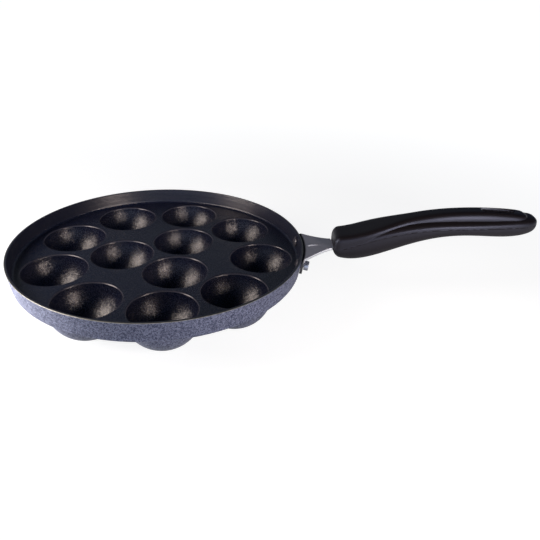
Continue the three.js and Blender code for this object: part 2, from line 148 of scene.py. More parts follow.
class BracketSizes(bpy.types.PropertyGroup):
    """Sizes of the stamped bracket and its rivets."""

    thickness: length("Thickness", 2, "Thickness of the sheet")
    bend_radius: length("Bend radius", 1, "Inside of the bend")
    flange_depth: length("Flange depth", 13.6, "Bracket's top down to the flange's lower edge")
    flange_corner: length("Flange corner", 4, "Rounded lower corners of the flange")
    neck_half_width: length("Neck half width", 9, "Middle of the neck out to its edge, at the grip")
    neck_corner: length("Neck corner", 2, "Rounded shoulders where the neck ends")
    neck_slope: angle("Neck slope", 8.5, "Rise of the neck and tang")
    flare_length: length("Flare length", 12.5, "Shoulders back to where the flaring edge turns")
    flare_rise: length("Flare rise", 4.5, "How far that turning point stands out from the neck's edge")
    tang_half_width: length("Tang half width", 6.5, "Middle of the tang out to its edge")
    tang_length: length("Tang length", 36, "Part of the bracket inside the grip")
    bead_length: length("Bead length", 10, "Pressed stiffening bead on the neck")
    bead_radius: length("Bead radius", 1.8, "Half the bead's width")
    bead_height: length("Bead height", 0.9, "How far the bead stands up")
    edge_radius: length("Edge radius", 0.3, "Rounding of the sheared edges")
    seat_gap: length("Seat gap", 0.3, "Air between parts that rest on each other")
    rivet_angle: angle("Rivet angle", 10, "Rivets either side of the handle's middle")
    rivet_sink: length("Rivet sink", 1.1, "How far the heads reach past the corner's centre")
    rivet_edge: length("Rivet edge", 5, "Rivet's axis to the flange's end")
    rivet_shank: length("Rivet shank", 1.8, "Radius of the shank")
    rivet_head: length("Rivet head", 4.4, "Radius of the head inside the pan")
    rivet_head_height: length("Rivet head height", 2.2, "Height of the domed head")
    rivet_tail: length("Rivet tail", 3.8, "Radius of the tail outside the flange")
    rivet_tail_height: length("Rivet tail height", 3.6, "Height of the tail")
    rivet_clearance: length("Rivet clearance", 0.6, "Tails up to the underside of the neck")


class GripSizes(bpy.types.PropertyGroup):
    """Sizes of the moulded grip and its screw, with heights from the tang at the grip's front."""

    grip_length: length("Length", 158.4, "Front to tip")
    standoff: length("Standoff", 23, "Rim out to the grip's front")
    top_line: line("Top line", (11.4, 11.2, 31.8, 33, 33.8, 35.1, 29.9), "Top of the pad, in mm")
    seam_line: line("Seam line", (-0.4, 6.8, 23.6, 24, 18, 24.5, 24.1), "Mould's parting line, in mm")
    bottom_line: line("Bottom line", (-6.3, -20.8, 2.8, 21.9, 18.6, 3.3, 19.3), "Belly, in mm")
    width_line: line("Half width line", (13.2, 16.2, 11.1), "Half width, in mm")
    front_radius: length("Front radius", 5.5, "Rounded edge of the front face")
    end_length: length("End length", 19.3, "Length over which the tip narrows")
    end_rounding: length("End rounding", 6.3, "Length over which the tip thins")
    end_fullness: amount("End fullness", 3, "2 is elliptic, more is blunter")
    belly_fullness: amount("Belly fullness", 2.5, "Fullness of the belly")
    shoulder_fullness: amount("Shoulder fullness", 3.1, "Fullness of the ledge")
    front_fullness: amount("Front fullness", 6, "Fullness of the box front")
    pad_fullness: amount("Pad fullness", 4, "Fullness of the pad")
    shoulder_height: length("Shoulder height", 5.4, "Ledge beside the pad, above the parting line")
    pad_half_width: length("Pad half width", 8.8, "Middle of the pad out to its side")
    pad_set_back: length("Pad set back", 8.1, "Tip back to the pad's end")
    pad_end_length: length("Pad end length", 11.9, "Length over which the pad's end narrows")
    pad_end_rounding: length("Pad end rounding", 4.7, "Length over which the pad's end comes down")
    pad_start: length("Pad start", 22.2, "Front to where the pad starts to narrow")
    pad_narrowing: length("Pad narrowing", 41.4, "Length over which it narrows to its own width")
    slot_length: length("Slot length", 25, "Hang slot through the pad")
    slot_width: length("Slot width", 6.5, "Width of the hang slot")
    slot_set_back: length("Slot set back", 18.5, "Tip back to the slot")
    slot_rounding: length("Slot rounding", 1.5, "Rounded mouth of the slot")
    ridge_height: length("Ridge height", 0.12, "Fine ridge that the mould leaves at its parting line")
    ridge_width: length("Ridge width", 0.45, "Half width of that ridge")
    screw_set_back: length("Screw set back", 12.3, "Tang's end back to the screw")
    screw_radius: length("Screw radius", 2.5, "Radius of the screw")
    screw_head: length("Screw head", 4.4, "Radius of the screw's head")
    screw_head_height: length("Screw head height", 3, "Height of the screw's head")
    recess_width: length("Recess width", 1.2, "Width of each arm of the cross recess")
    recess_span: length("Recess span", 5, "Length of each arm of the cross recess")
    recess_depth: length("Recess depth", 1.6, "Depth of the cross recess")
    screw_floor: length("Screw floor", 4, "Grip left between tang and washer")
    screw_engagement: length("Screw engagement", 6.2, "Screw inside the insert")
    washer_radius: length("Washer radius", 4.6, "Outside of the washer")
    washer_thickness: length("Washer thickness", 1.2, "Thickness of the washer")
    insert_radius: length("Insert radius", 4, "Outside of the insert")
    insert_length: length("Insert length", 7, "Length of the insert")


class Finishes(bpy.types.PropertyGroup):
    """Colours of the finishes."""

    coat: colour("Coat", "#081129", "Non-stick coat between its flakes")
    coat_sheen: colour("Coat sheen", "#fff4ee", "Tint of the coat's highlights")
    flake: colour("Flake", "#d2c4be", "Mica flakes in the coat")
    bare: colour("Bare metal", "#b7b4ac", "Bare aluminium of the rim")
    bare_dark: colour("Bare metal, dark", "#696560", "Turning marks on the rim")
    enamel_light: colour("Enamel, light", "#8c90aa", "Raised cells of the hammered enamel")
    enamel_dark: colour("Enamel, dark", "#454a63", "Veins of the hammered enamel")
    steel: colour("Steel", "#a7a5b0", "Satin face of the bracket")
    steel_light: colour("Steel, light", "#c9c7d2", "Brush marks on that face")
    # Bright colour of the sheared edges, partly bare metal and partly a painted highlight, and of the
    # painted highlight on the bead.
    steel_edge_and_glint: colour("Steel edge", "#e2e4ea", "Sheared edge of the bracket")
    # Painted shade of the gap by the pan's wall, laid dark on the steel next to the rim.
    steel_gap_shade: colour("Steel, heated", "#17181a", "Plating dulled by the hot wall")
    rivet: colour("Rivet", "#b6bac9", "Rivet tails")
    grip: colour("Grip", "#1a1413", "Moulded grip")
    grip_sheen: colour("Grip sheen", "#d3dcff", "Tint of the grip's highlights")
    # Painted highlight round the mouth of the hang slot, standing in for the lamps' reflection on its
    # rounded edge.
    grip_slot_glint: colour("Grip slot", "#9c9fa8", "Mouth of the hang slot, rubbed by its hook")
    grip_filler: colour("Grip filler", "#211a18", "Filler that shows in the moulding")
    zinc: colour("Zinc", "#a9abb0", "Screw and washer")
    zinc_light: colour("Zinc, light", "#c9c6b8", "Cloudy places on them")
    brass: colour("Brass", "#b5924f", "Threaded insert")


class StageSettings(bpy.types.PropertyGroup):
    """Camera, soft boxes and room."""

    camera_place: spot("Camera", (-0.01330, -0.40857, 0.24378), "Place of the camera")
    camera_turn: FloatVectorProperty(name="Camera turn", description="Turn of the camera",
                                     default=[math.radians(v) for v in (60.898, -1.890, -0.581)],
                                     subtype="EULER")
    lens: amount("Lens", 37.89, "Focal length in mm")
    sensor: amount("Sensor", 36, "Width of the sensor in mm")
    right_place: spot("Right light", (0.229, -0.270, 0.136), "Place of the right soft box")
    right_width: length("Right light width", 75, "Width of the right soft box")
    right_height: length("Right light height", 120, "Height of the right soft box")
    right_power: amount("Right power", 0.75, "Power of the right soft box", unit="POWER")
    right_tint: tint("Right tint", (1, 0.91, 0.86), "Colour of the right soft box")
    left_place: spot("Left light", (-0.378, -0.085, 0.210), "Place of the left soft box")
    left_width: length("Left light width", 160, "Width of the left soft box")
    left_height: length("Left light height", 215, "Height of the left soft box")
    left_power: amount("Left power", 0.95, "Power of the left soft box", unit="POWER")
    left_tint: tint("Left tint", (1, 0.94, 0.89), "Colour of the left soft box")
    low_place: spot("Low light", (-0.390, -0.070, 0.028), "Place of the low soft box at the left")
    low_width: length("Low light width", 120, "Width of the low soft box")
    low_height: length("Low light height", 40, "Height of the low soft box")
    low_power: amount("Low power", 1.45, "Power of the low soft box", unit="POWER")
    low_tint: tint("Low tint", (1, 0.97, 0.93), "Colour of the low soft box")
    floor: colour("Floor", "#a2a2a2", "Matt floor, as the lamps light it")
    sides: colour("Sides", "#1b2a43", "Dim sides of the room")
    window: colour("Window", "#bad3f2", "Low window behind the camera")
    screen: colour("Screen", "#434a51", "Grey screen opposite the window")
    ceiling: colour("Ceiling", "#080f18", "Dark ceiling of the room")
    room_strength: amount("Room strength", 1.45, "Strength of the room's light")


def arc(x, y, radius, start, end, steps):
    """Points at (x + r cos a, y + r sin a) for angles a from start to end."""
    a = np.linspace(start, end, steps + 1)
    return np.stack([x + radius * np.cos(a), y + radius * np.sin(a)], 1)


def turned(profile, segments):
    """Profile rows (r, h) turned about Z: (r cos a, r sin a, h)."""
    a = np.arange(segments) * (2 * np.pi / segments)
    r, h = profile[:, :1], profile[:, 1:]
    return np.stack([r * np.cos(a), r * np.sin(a), h + 0 * a], -1)


def dome(radius, height, seat, steps):
    """Profile of a dome from pole to edge: (r cos a, seat + h sin a) for a from -90 degrees to 0."""
    profile = arc(0, 0, 1, -QUARTER, 0, steps) * [radius, height] + [0, seat]
    profile[0, 0] = 0
    return profile


def capped(grid):
    """Grid closed at both ends by a row at the mean of its first row and one at that of its last."""
    first, last = (grid[i].mean(0) + 0 * grid[i] for i in (0, -1))
    return np.concatenate([[first], grid, [last]])


def set_back(radius, distance):
    """How far a rounded edge stands back at a distance from the end: r - sqrt(r^2 - (r - d)^2)."""
    left = np.clip(radius - distance, 0, radius)
    return radius - np.sqrt(radius ** 2 - left ** 2)


def band(distance, half_width):
    """Share of a rubbed band: 1 near its middle line, then falling evenly to 0 at 1.4 half widths."""
    return np.clip(1.4 - distance / half_width, 0, 1)


def placed(points, move):
    """Points carried by a 4 x 4 array."""
    return points @ move[:3, :3].T + move[:3, 3]


def carry(mesh, move):
    """Carries a mesh by a 4 x 4 array."""
    mesh.transform(Matrix(move.tolist()))


def shift(x, y, z):
    """Array that moves."""
    move = np.eye(4)
    move[:3, 3] = x, y, z
    return move


def turn(axis, a):
    """Array that turns by a about an axis: 1 for Y, 2 for Z."""
    first, second = ((2, 0), (0, 1))[axis - 1]
    move = np.eye(4)
    move[first, first] = move[second, second] = math.cos(a)
    move[first, second] = -math.sin(a)
    move[second, first] = math.sin(a)
    return move


def grid_faces(rows, columns):
    """Four-cornered faces between the points of a grid whose last column meets its first."""
    row = np.arange(rows - 1)[:, None] * columns
    column = np.arange(columns)[None, :]
    following = (column + 1) % columns
    corners = [row + column, row + following, row + following + columns, row + column + columns]
    return np.stack(corners, -1).reshape(-1, 4)


def closed_mesh(name, grids, fills=()):
    """Closed mesh out of grids of points, given as (rows x columns x 3 points, material number).

    Points that coincide are merged, which closes poles and seams. fills gives the heights at which
    flat openings are filled with triangles, each with its material number.
    """
    points = [grid.reshape(-1, 3) for grid, _ in grids]
    starts = np.cumsum([0] + [len(p) for p in points])
    faces = [grid_faces(*grid.shape[:2]) + start for (grid, _), start in zip(grids, starts)]
    numbers = [np.full(len(f), number) for f, (_, number) in zip(faces, grids)]
    mesh = bpy.data.meshes.new(name)
    mesh.from_pydata(np.concatenate(points).tolist(), [], np.concatenate(faces).tolist())
    mesh.polygons.foreach_set("material_index", np.concatenate(numbers).astype(np.int32))
    shell = bmesh.new()
    shell.from_mesh(mesh)
    bmesh.ops.remove_doubles(shell, verts=shell.verts, dist=MERGE)
    for height, number in fills:
        level = [e for e in shell.edges if e.is_boundary
                 and all(abs(v.co.z - height) < MERGE for v in e.verts)]
        made = bmesh.ops.triangle_fill(shell, edges=level, use_beauty=True, normal=(0, 0, 1))
        for item in made["geom"]:
            if isinstance(item, bmesh.types.BMFace):
                item.material_index = number
    bmesh.ops.recalc_face_normals(shell, faces=shell.faces)
    open_edges = sum(not e.is_manifold for e in shell.edges)
    shell.to_mesh(mesh)
    shell.free()
    if open_edges:
        raise RuntimeError(f"{name} has {open_edges} open edges")
    return mesh


def cut(piece, grids):
    """Takes the closed shapes in grids out of a piece, one after the other."""
    for grid in grids:
        mesh = closed_mesh("cutter", [(grid, 0)])
        cutter = bpy.data.objects.new("cutter", mesh)
        bpy.context.collection.objects.link(cutter)
        modifier = piece.modifiers.new("cut", "BOOLEAN")
        modifier.object = cutter
        modifier.operation = "DIFFERENCE"
        modifier.solver = "EXACT"
        depsgraph = bpy.context.evaluated_depsgraph_get()
        result = bpy.data.meshes.new_from_object(piece.evaluated_get(depsgraph))
        piece.modifiers.clear()
        old = piece.data
        piece.data = result
        result.name = old.name
        bpy.data.meshes.remove(old)
        bpy.data.objects.remove(cutter)
        bpy.data.meshes.remove(mesh)


def finish_piece(piece, nodes):
    """Smooth faces with sharp edges kept, and the calls that every piece needs."""
    piece.data.polygons.foreach_set("use_smooth", np.ones(len(piece.data.polygons), bool))
    piece.data.set_sharp_from_angle(angle=SHARP)
    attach(piece, "root")
    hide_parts(*nodes)


def new_piece(name, mesh, finishes):
    """Object with its materials, in the scene."""
    piece = bpy.data.objects.new(name, mesh)
    for finish in finishes:
        piece.data.materials.append(finish)
    bpy.context.collection.objects.link(piece)
    return piece


def mark(mesh, name, values):
    """Number at each point of a mesh, which a material reads by name."""
    layer = mesh.attributes.new(name, "FLOAT", "POINT")
    layer.data.foreach_set("value", values.astype(np.float32))


def mesh_points(mesh):
    """Points of a mesh as rows."""
    points = np.empty(len(mesh.vertices) * 3)
    mesh.vertices.foreach_get("co", points)
    return points.reshape(-1, 3)


def layout(scene):
    """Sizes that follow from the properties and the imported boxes.

    They are in metres, from the pan's axis and the plane that it stands on.
    """
    pan, bracket, grip = scene.pan_sizes, scene.bracket_sizes, scene.grip_sizes
    low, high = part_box("pan_body")
    at = SimpleNamespace()
    at.axis = shift((low[0] + high[0]) / 2, 0, 0)
    at.reach = (high[1] - low[1]) / 2
    at.inner_ring = (pan.cavity_radius + pan.inner_land / 2) / math.sin(math.pi / pan.inner_count)
    at.outer_ring = (pan.cavity_radius + pan.outer_land / 2) / math.sin(math.pi / pan.outer_count)
    floor_radius = at.outer_ring + pan.cavity_radius + pan.lip_radius + pan.floor_land
    at.foot = floor_radius + pan.corner_radius + pan.wall_thickness
    at.rim = at.foot + pan.wall_lean
    at.bulge = pan.cavity_radius + pan.cavity_wall
    at.plate_top = math.sqrt(at.bulge ** 2 - pan.seat_radius ** 2)
    at.plate_bottom = at.plate_top - pan.plate_thickness
    at.rim_top = at.plate_top + pan.dish_depth
    at.lean = math.atan2(pan.wall_lean, at.rim_top - at.plate_bottom)
    at.rivet_height = at.plate_top + pan.corner_radius + bracket.rivet_head - bracket.rivet_sink
    at.bracket_top = at.rivet_height + bracket.rivet_tail + bracket.rivet_clearance + bracket.thickness
    at.flange_foot = at.bracket_top - bracket.flange_depth
    at.flange_half_width = at.rim * math.sin(bracket.rivet_angle) + bracket.rivet_edge
    at.grip_front = at.rim + grip.standoff
    at.grip_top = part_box("handle_grip")[1][2]
    outside = bracket.bend_radius + bracket.thickness
    at.bend_z = at.bracket_top - outside * math.cos(bracket.neck_slope)
    wall_x = wall_radius(at, at.bend_z + outside * math.sin(at.lean))
    at.bend_x = wall_x + bracket.seat_gap / math.cos(at.lean) + outside * math.cos(at.lean)
    at.top_x = at.bend_x - outside * math.sin(bracket.neck_slope)
    at.tang_front = tang_height(at, bracket, at.grip_front)
    return at


def wall_radius(at, z):
    """Outside radius of the pan's wall at a height."""
    return at.foot + (z - at.plate_bottom) * math.tan(at.lean)


def tang_height(at, bracket, x):
    """Height of the middle of the neck and tang at a distance from the pan's axis."""
    half = bracket.thickness / 2 / math.cos(bracket.neck_slope)
    return at.bracket_top + (x - at.top_x) * math.tan(bracket.neck_slope) - half


def cavity_centres(pan, at):
    """Centres of the cavities: a ring with one facing the handle, the middle ones half a step on."""
    outer = np.arange(pan.outer_count) * (2 * np.pi / pan.outer_count)
    inner = (np.arange(pan.inner_count) + 0.5) * (2 * np.pi / pan.inner_count)
    around = np.concatenate([outer, inner])
    ring = np.concatenate([np.full(len(outer), at.outer_ring), np.full(len(inner), at.inner_ring)])
    return np.stack([ring * np.cos(around), ring * np.sin(around)], 1)


def bowl(pan, at):
    """One cavity: a quarter circle of the cavity's radius, a rounded lip and an apron, turned."""
    reach = pan.cavity_radius + pan.lip_radius
    lean = math.asin(pan.lip_radius / reach)
    lip_x = reach * math.cos(lean)
    ball = arc(0, at.plate_top, pan.cavity_radius, -QUARTER, -lean, STEPS.ball)
    ball[0, 0] = 0
    lip = arc(lip_x, at.plate_top - pan.lip_radius, pan.lip_radius, math.pi - lean, QUARTER, STEPS.lip)
    return turned(np.concatenate([ball, lip[1:], [[lip_x + APRON, at.plate_top]]]), BOWL_SEGMENTS)


def bulge_profile(pan, at):
    """Underside of a cavity from its middle out: flat seat, ball, hollow fillet, apron."""
    fillet = pan.bulge_fillet
    fillet_z = at.plate_bottom - fillet
    fillet_x = math.sqrt((at.bulge + fillet) ** 2 - (at.plate_top - fillet_z) ** 2)
    join = math.atan2(fillet_z - at.plate_top, fillet_x)
    seat = np.linspace((0, 0), (pan.seat_radius, 0), STEPS.seat, endpoint=False)
    ball = arc(0, at.plate_top, at.bulge, -math.asin(at.plate_top / at.bulge), join, STEPS.bulge)
    hollow = arc(fillet_x, fillet_z, fillet, join + math.pi, QUARTER, STEPS.fillet)
    return np.concatenate([seat, ball, hollow[1:], [[fillet_x + APRON, at.plate_bottom]]])


def bulge(centre, centres, profile):
    """One bulge, ended half way to its neighbours.

    At angle a the profile runs out to the lesser of its own reach R and d / 2 cos(a - h) for each
    neighbour at distance d and heading h. Angles are spread evenly within the stretch that meets a
    neighbour, |a - h| < acos(d / 2R), so both sides of a valley hold the same points.
    """
    reach = profile[-1, 0]
    step = 2 * np.pi / BOWL_SEGMENTS
    away = centres - centre
    distance = np.hypot(*away.T)
    near = (distance > MM) & (distance < 2 * reach)
    distance = distance[near]
    heading = np.arctan2(*away[near].T[::-1])
    order = np.argsort(heading)
    heading, distance = heading[order], distance[order]
    half = np.arccos(distance / (2 * reach))
    following = np.append(heading[1:] - half[1:], heading[0] - half[0] + 2 * np.pi)
    stretches = []
    for h, w, end in zip(heading, half, following):
        meeting = 2 * max(2, round(w / step))
        free = max(1, math.ceil((end - h - w) / step))
        stretches.append(np.linspace(h - w, h + w, meeting, endpoint=False))
        stretches.append(np.linspace(h + w, end, free, endpoint=False))
    a = np.concatenate(stretches)
    toward = np.maximum(np.cos(a - heading[:, None]), 1e-3)  # never 0, which divides below
    limit = np.minimum(reach, (distance[:, None] / 2 / toward).min(0))
    run = np.append(0, np.cumsum(np.hypot(*np.diff(profile, axis=0).T)))
    share = np.interp(limit, profile[:, 0], run) / run[-1]
    along = run[:, None] * share
    r = np.interp(along, run, profile[:, 0])
    z = np.interp(along, run, profile[:, 1])
    return np.stack([centre[0] + r * np.cos(a), centre[1] + r * np.sin(a), z], -1)


def wall(pan, at):
    """The wall as three turned profiles: inside with its corner, bare rim, outside with its foot."""
    lean, thick = at.lean, pan.wall_thickness
    share = (1 - math.sin(lean)) / math.cos(lean)
    corner_x = wall_radius(at, at.plate_top) - thick - pan.corner_radius * share
    foot_x = at.foot - pan.foot_radius * share
    rounding = pan.rim_radius
    rim_z = at.rim_top - rounding
    rim_out = wall_radius(at, rim_z) - rounding
    rim_in = wall_radius(at, rim_z) - thick + rounding
    corner_z, foot_z = at.plate_top + pan.corner_radius, at.plate_bottom + pan.foot_radius
    corner = arc(corner_x, corner_z, pan.corner_radius, -QUARTER, -lean, STEPS.corner)
    cover = arc(rim_in, rim_z, rounding, math.pi, QUARTER, STEPS.rim)
    bare = np.concatenate([[[rim_out - pan.bare_width, at.rim_top]],
                           arc(rim_out, rim_z, rounding, QUARTER, 0, STEPS.rim)])
    foot = arc(foot_x, foot_z, pan.foot_radius, -lean, -QUARTER, STEPS.corner)
    inside = np.concatenate([[[corner_x - APRON, at.plate_top]], corner[:-1],
                             np.linspace(corner[-1], cover[0], STEPS.wall + 1), cover[1:], bare[:1]])
    outside = np.concatenate([np.linspace(bare[-1], foot[0], STEPS.wall + 1), foot[1:],
                              [[foot_x - APRON, at.plate_bottom]]])
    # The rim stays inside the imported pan's box, which its facets make a hair narrower.
    profiles = (np.minimum(profile, [at.reach, np.inf]) for profile in (inside, bare, outside))
    return [turned(profile, WALL_SEGMENTS) for profile in profiles]


LIP_PLACE = 0.3  # middle of a lip's rubbed band, out from the cavity and down, in lip radii
LIP_BAND = 0.7 * MM  # width over which that band fades
LIP_CUT = 0.3  # share of its fade that is cut off, so that it ends before the plate


def lip_wear(points, pan, at):
    """How much a point lies on a lip: exp(-(distance / width)^2), less a share so that it ends."""
    place = LIP_PLACE * pan.lip_radius
    flat = points[:, None, :2] - cavity_centres(pan, at)
    from_lip = np.abs(np.hypot(*flat.T) - pan.cavity_radius - place).min(0)
    drop = points[:, 2] - at.plate_top + place
    near = np.exp(-(from_lip ** 2 + drop ** 2) / LIP_BAND ** 2)
    return np.maximum(near - LIP_CUT, 0) / (1 - LIP_CUT)


# Material numbers of the pan's skins.
COAT, RIM, ENAMEL = range(3)


class PAN_OT_pressed_pan(bpy.types.Operator):
    """Builds the pressed pan with its cavities, bulges, wall and bare rim."""

    bl_idname = "pan.pressed_pan"
    bl_label = "Pressed pan"

    def execute(self, context):
        scene = context.scene
        pan, at = scene.pan_sizes, layout(scene)
        centres = cavity_centres(pan, at)
        profile = bulge_profile(pan, at)
        one = bowl(pan, at)
        grids = [(placed(one, shift(x, y, 0)), COAT) for x, y in centres]
        grids += [(bulge(centre, centres, profile), ENAMEL) for centre in centres]
        grids += zip(wall(pan, at), (COAT, RIM, ENAMEL))
        mesh = closed_mesh("pressed_pan", grids, [(at.plate_top, COAT), (at.plate_bottom, ENAMEL)])
        mark(mesh, "wear", lip_wear(mesh_points(mesh), pan, at))
        carry(mesh, at.axis)
        finishes = [non_stick(scene), bare_rim(scene), hammered_enamel(scene)]
        finish_piece(new_piece("pressed_pan", mesh, finishes), ["pan_body"])
        return {"FINISHED"}


def rivet_place(bracket, at, side):
    """Outside of the wall at a rivet, with Z out along the rivet."""
    out = shift(wall_radius(at, at.rivet_height), 0, at.rivet_height)
    return at.axis @ turn(2, side * bracket.rivet_angle) @ out @ turn(1, at.lean) @ turn(1, QUARTER)


TAIL_ROUNDING = 0.15  # rounding of a tail's edges, in tail radii
DIMPLE_WIDTH = 0.45  # dimple that the punch leaves in a tail, in tail radii
DIMPLE_DEPTH = 0.3 * MM


def rivet(pan, bracket, at):
    """Rivet along Z as two turned profiles: coated head inside, shank and tail outside."""
    head_seat = -pan.wall_thickness * math.cos(at.lean) - bracket.seat_gap
    tail_seat = bracket.thickness + 2 * bracket.seat_gap
    tail_end = tail_seat + bracket.rivet_tail_height
    rounding = TAIL_ROUNDING * bracket.rivet_tail
    flat = bracket.rivet_tail - rounding
    shank = [[bracket.rivet_shank, head_seat], [bracket.rivet_shank, tail_seat]]
    head = dome(bracket.rivet_head, bracket.rivet_head_height, head_seat, STEPS.dome)
    head = np.concatenate([head, shank[:1]])
    foot = arc(flat, tail_seat + rounding, rounding, -QUARTER, 0, STEPS.tail_foot)
    edge = arc(flat, tail_end - rounding, rounding, 0, QUARTER, STEPS.tail)
    dimple = dome(DIMPLE_WIDTH * bracket.rivet_tail, DIMPLE_DEPTH, tail_end, STEPS.tail)
    tail = np.concatenate([shank, [[flat, tail_seat]], foot[1:], edge, dimple[::-1]])
    return [turned(head, RIVET_SEGMENTS), turned(tail, RIVET_SEGMENTS)]


class PAN_OT_rivets(bpy.types.Operator):
    """Builds the two rivets that hold the bracket to the wall."""

    bl_idname = "pan.rivets"
    bl_label = "Rivets"

    def execute(self, context):
        scene = context.scene
        pan, bracket, at = scene.pan_sizes, scene.bracket_sizes, layout(scene)
        finishes = [non_stick(scene), rivet_metal(scene)]
        for name, side in (("near", -1), ("far", 1)):
            place = rivet_place(bracket, at, side)
            grids = [(placed(grid, place), i) for i, grid in enumerate(rivet(pan, bracket, at))]
            mesh = closed_mesh(f"wall_rivet_{name}", grids)
            mark(mesh, "wear", np.ones(len(mesh.vertices)))
            piece = new_piece(f"wall_rivet_{name}", mesh, finishes)
            finish_piece(piece, [f"rivet_{name}"])
        return {"FINISHED"}


FLANGE_SPAN = 9.6  # flange's length in lengths of its foot, where its rows lie closer
FLANGE_NEXT = 1.2  # first row past that foot


def bracket_path(bracket, at):
    """Middle of the sheet from the flange's foot over the bend to the tang's end.

    Returns rows (distance from the axis, height), the directions out of the sheet's upper face, and
    which rows are the tang's.
    """
    middle = bracket.bend_radius + bracket.thickness / 2
    half = bracket.thickness / 2 / math.cos(at.lean)
    start = wall_radius(at, at.flange_foot) + bracket.seat_gap / math.cos(at.lean) + half
    foot = np.array([start, at.flange_foot])
    bend_end = QUARTER + bracket.neck_slope
    bend = arc(at.bend_x, at.bend_z, middle, math.pi - at.lean, bend_end, STEPS.bend)
    # Rows rise as 1 - cos over the flange's foot, and evenly from there to the bend.
    rise = np.append(1 - np.cos(np.linspace(0, QUARTER, STEPS.flange_foot + 1)),
                     np.linspace(FLANGE_NEXT, FLANGE_SPAN, STEPS.flange + 1))
    flange = foot + (bend[0] - foot) * (rise[:, None] / FLANGE_SPAN)
    shoulder = at.grip_front - bracket.seat_gap
    corner = shoulder - bracket.neck_corner * (1 - np.linspace(0, 1, STEPS.shoulder + 1)) ** 2
    end = at.grip_front + bracket.tang_length
    rounding = np.cos(np.linspace(QUARTER / 4, QUARTER, STEPS.tang_end + 1))
    tang = np.append(np.linspace(shoulder, end - bracket.edge_radius, STEPS.tang + 1),
                     end - bracket.edge_radius * rounding)
    neck = np.linspace(bend[-1, 0], corner[0], STEPS.neck + 1)[1:-1]
    x = np.concatenate([neck, corner, tang])
    path = np.concatenate([flange[:-1], bend, np.stack([x, tang_height(at, bracket, x)], 1)])
    is_tang = np.arange(len(path)) >= len(path) - len(tang)
    direction = np.gradient(path, axis=0)
    direction[is_tang] = [math.cos(bracket.neck_slope), math.sin(bracket.neck_slope)]
    direction /= np.hypot(*direction.T)[:, None]
    return path, np.stack([-direction[:, 1], direction[:, 0]], 1), is_tang


def plan_half_width(bracket, at, x):
    """Half width of the bracket at x: flange, flaring edge, rounded shoulder.

    The flaring edge is a quadratic Bezier line through three points, and t solves its x(t) = x.
    """
    shoulder = at.grip_front - bracket.seat_gap
    x0 = at.rim - bracket.flange_corner / 2
    x1 = shoulder - bracket.flare_length
    x2 = shoulder - bracket.neck_corner
    y0, y2 = at.flange_half_width, bracket.neck_half_width
    y1 = y2 + bracket.flare_rise
    a, b = x0 - 2 * x1 + x2, 2 * (x1 - x0)
    c = x0 - np.clip(x, x0, x2)
    t = 2 * -c / (b + np.sqrt(np.maximum(b * b - 4 * a * c, 0)))
    flare = (1 - t) ** 2 * y0 + 2 * t * (1 - t) * y1 + t ** 2 * y2
    corner = 1 - np.sqrt(np.clip((shoulder - x) / bracket.neck_corner, 0, 1))
    return np.where(x > x2, y2 - bracket.neck_corner * corner ** 2, flare)


CROWDING = 1.6  # above 1, a sheet's columns lie closer in its middle, where the bead is


def sheet_section(steps):
    """Closed outline of a sheet with rounded edges, as (side, lift, corner side, corner lift) columns.

    A point lies at side * (w - e) + corner side * e across and lift * (t - e) + corner lift * e up, for
    half width w, half thickness t and edge radius e.
    """
    spread = np.linspace(-1, 1, steps + 1)
    spread = np.sign(spread) * np.abs(spread) ** CROWDING
    quarter = np.linspace(0, QUARTER, STEPS.edge + 1)
    one = np.ones_like(quarter)
    across = np.stack([spread, 0 * spread + 1, 0 * spread, 0 * spread + 1], 1)
    right = [np.stack([one, one, np.sin(quarter), np.cos(quarter)], 1)[1:],
             np.stack([one, -one, np.cos(quarter), -np.sin(quarter)], 1)[:-1]]
    half = np.concatenate([across, *right])
    return np.concatenate([half, -half])


BEAD_FULLNESS = 0.75  # power of the bead's form, which at 0.5 would be an ellipsoid
WIDTH_ROUNDS = 12  # rounds after which the half width no longer changes


def bracket_skin(bracket, at):
    """Sheet section carried along the bracket's path and curved round the pan's axis.

    Where the path lies at distance r and height z, with the sheet's normal (n, m), a section point y
    across and u up lies at (sqrt((r + n u)^2 - y^2), y, z + m u). The bead lifts u by its height times
    (1 - s^2 - (y / half width)^2)^fullness, s running from -1 to 1 along it.
    """
    path, normal, is_tang = bracket_path(bracket, at)
    r, z = path.T
    half = np.full(len(path), at.flange_half_width)
    for _ in range(WIDTH_ROUNDS):
        half = plan_half_width(bracket, at, np.sqrt(r ** 2 - half ** 2))
    rounding = np.where(r < at.bend_x, set_back(bracket.flange_corner, z - at.flange_foot), 0)
    half = np.where(is_tang, bracket.tang_half_width, half - rounding)
    edge = bracket.edge_radius
    to_end = np.minimum(np.hypot(*(path - path[0]).T), np.hypot(*(path - path[-1]).T))
    inset = set_back(edge, to_end)
    side, lift, corner_side, corner_lift = sheet_section(STEPS.sheet).T
    across = side * (half - edge - inset)[:, None] + corner_side * edge
    height = lift * (bracket.thickness / 2 - edge - inset)[:, None] + corner_lift * edge
    bead_half = bracket.bead_length / 2
    along = (r[:, None] - at.bend_x - bead_half) / bead_half
    swell = np.clip(1 - along ** 2 - (across / bracket.bead_radius) ** 2, 0, 1)
    height = height + bracket.bead_height * swell ** BEAD_FULLNESS * (r > at.bend_x)[:, None]
    reach = r[:, None] + normal[:, :1] * height
    x = np.sqrt(reach ** 2 - across ** 2)
    return capped(np.stack([x, across, z[:, None] + normal[:, 1:] * height], -1))


GLINT_PLACE = 1.1 * MM  # bead's middle to the painted highlight line on its near flank
GLINT_WIDTH = 0.5 * MM  # half width of that line
GLINT_START, GLINT_END = 0.1, 1.2  # where that line starts and where it has faded, in bead lengths


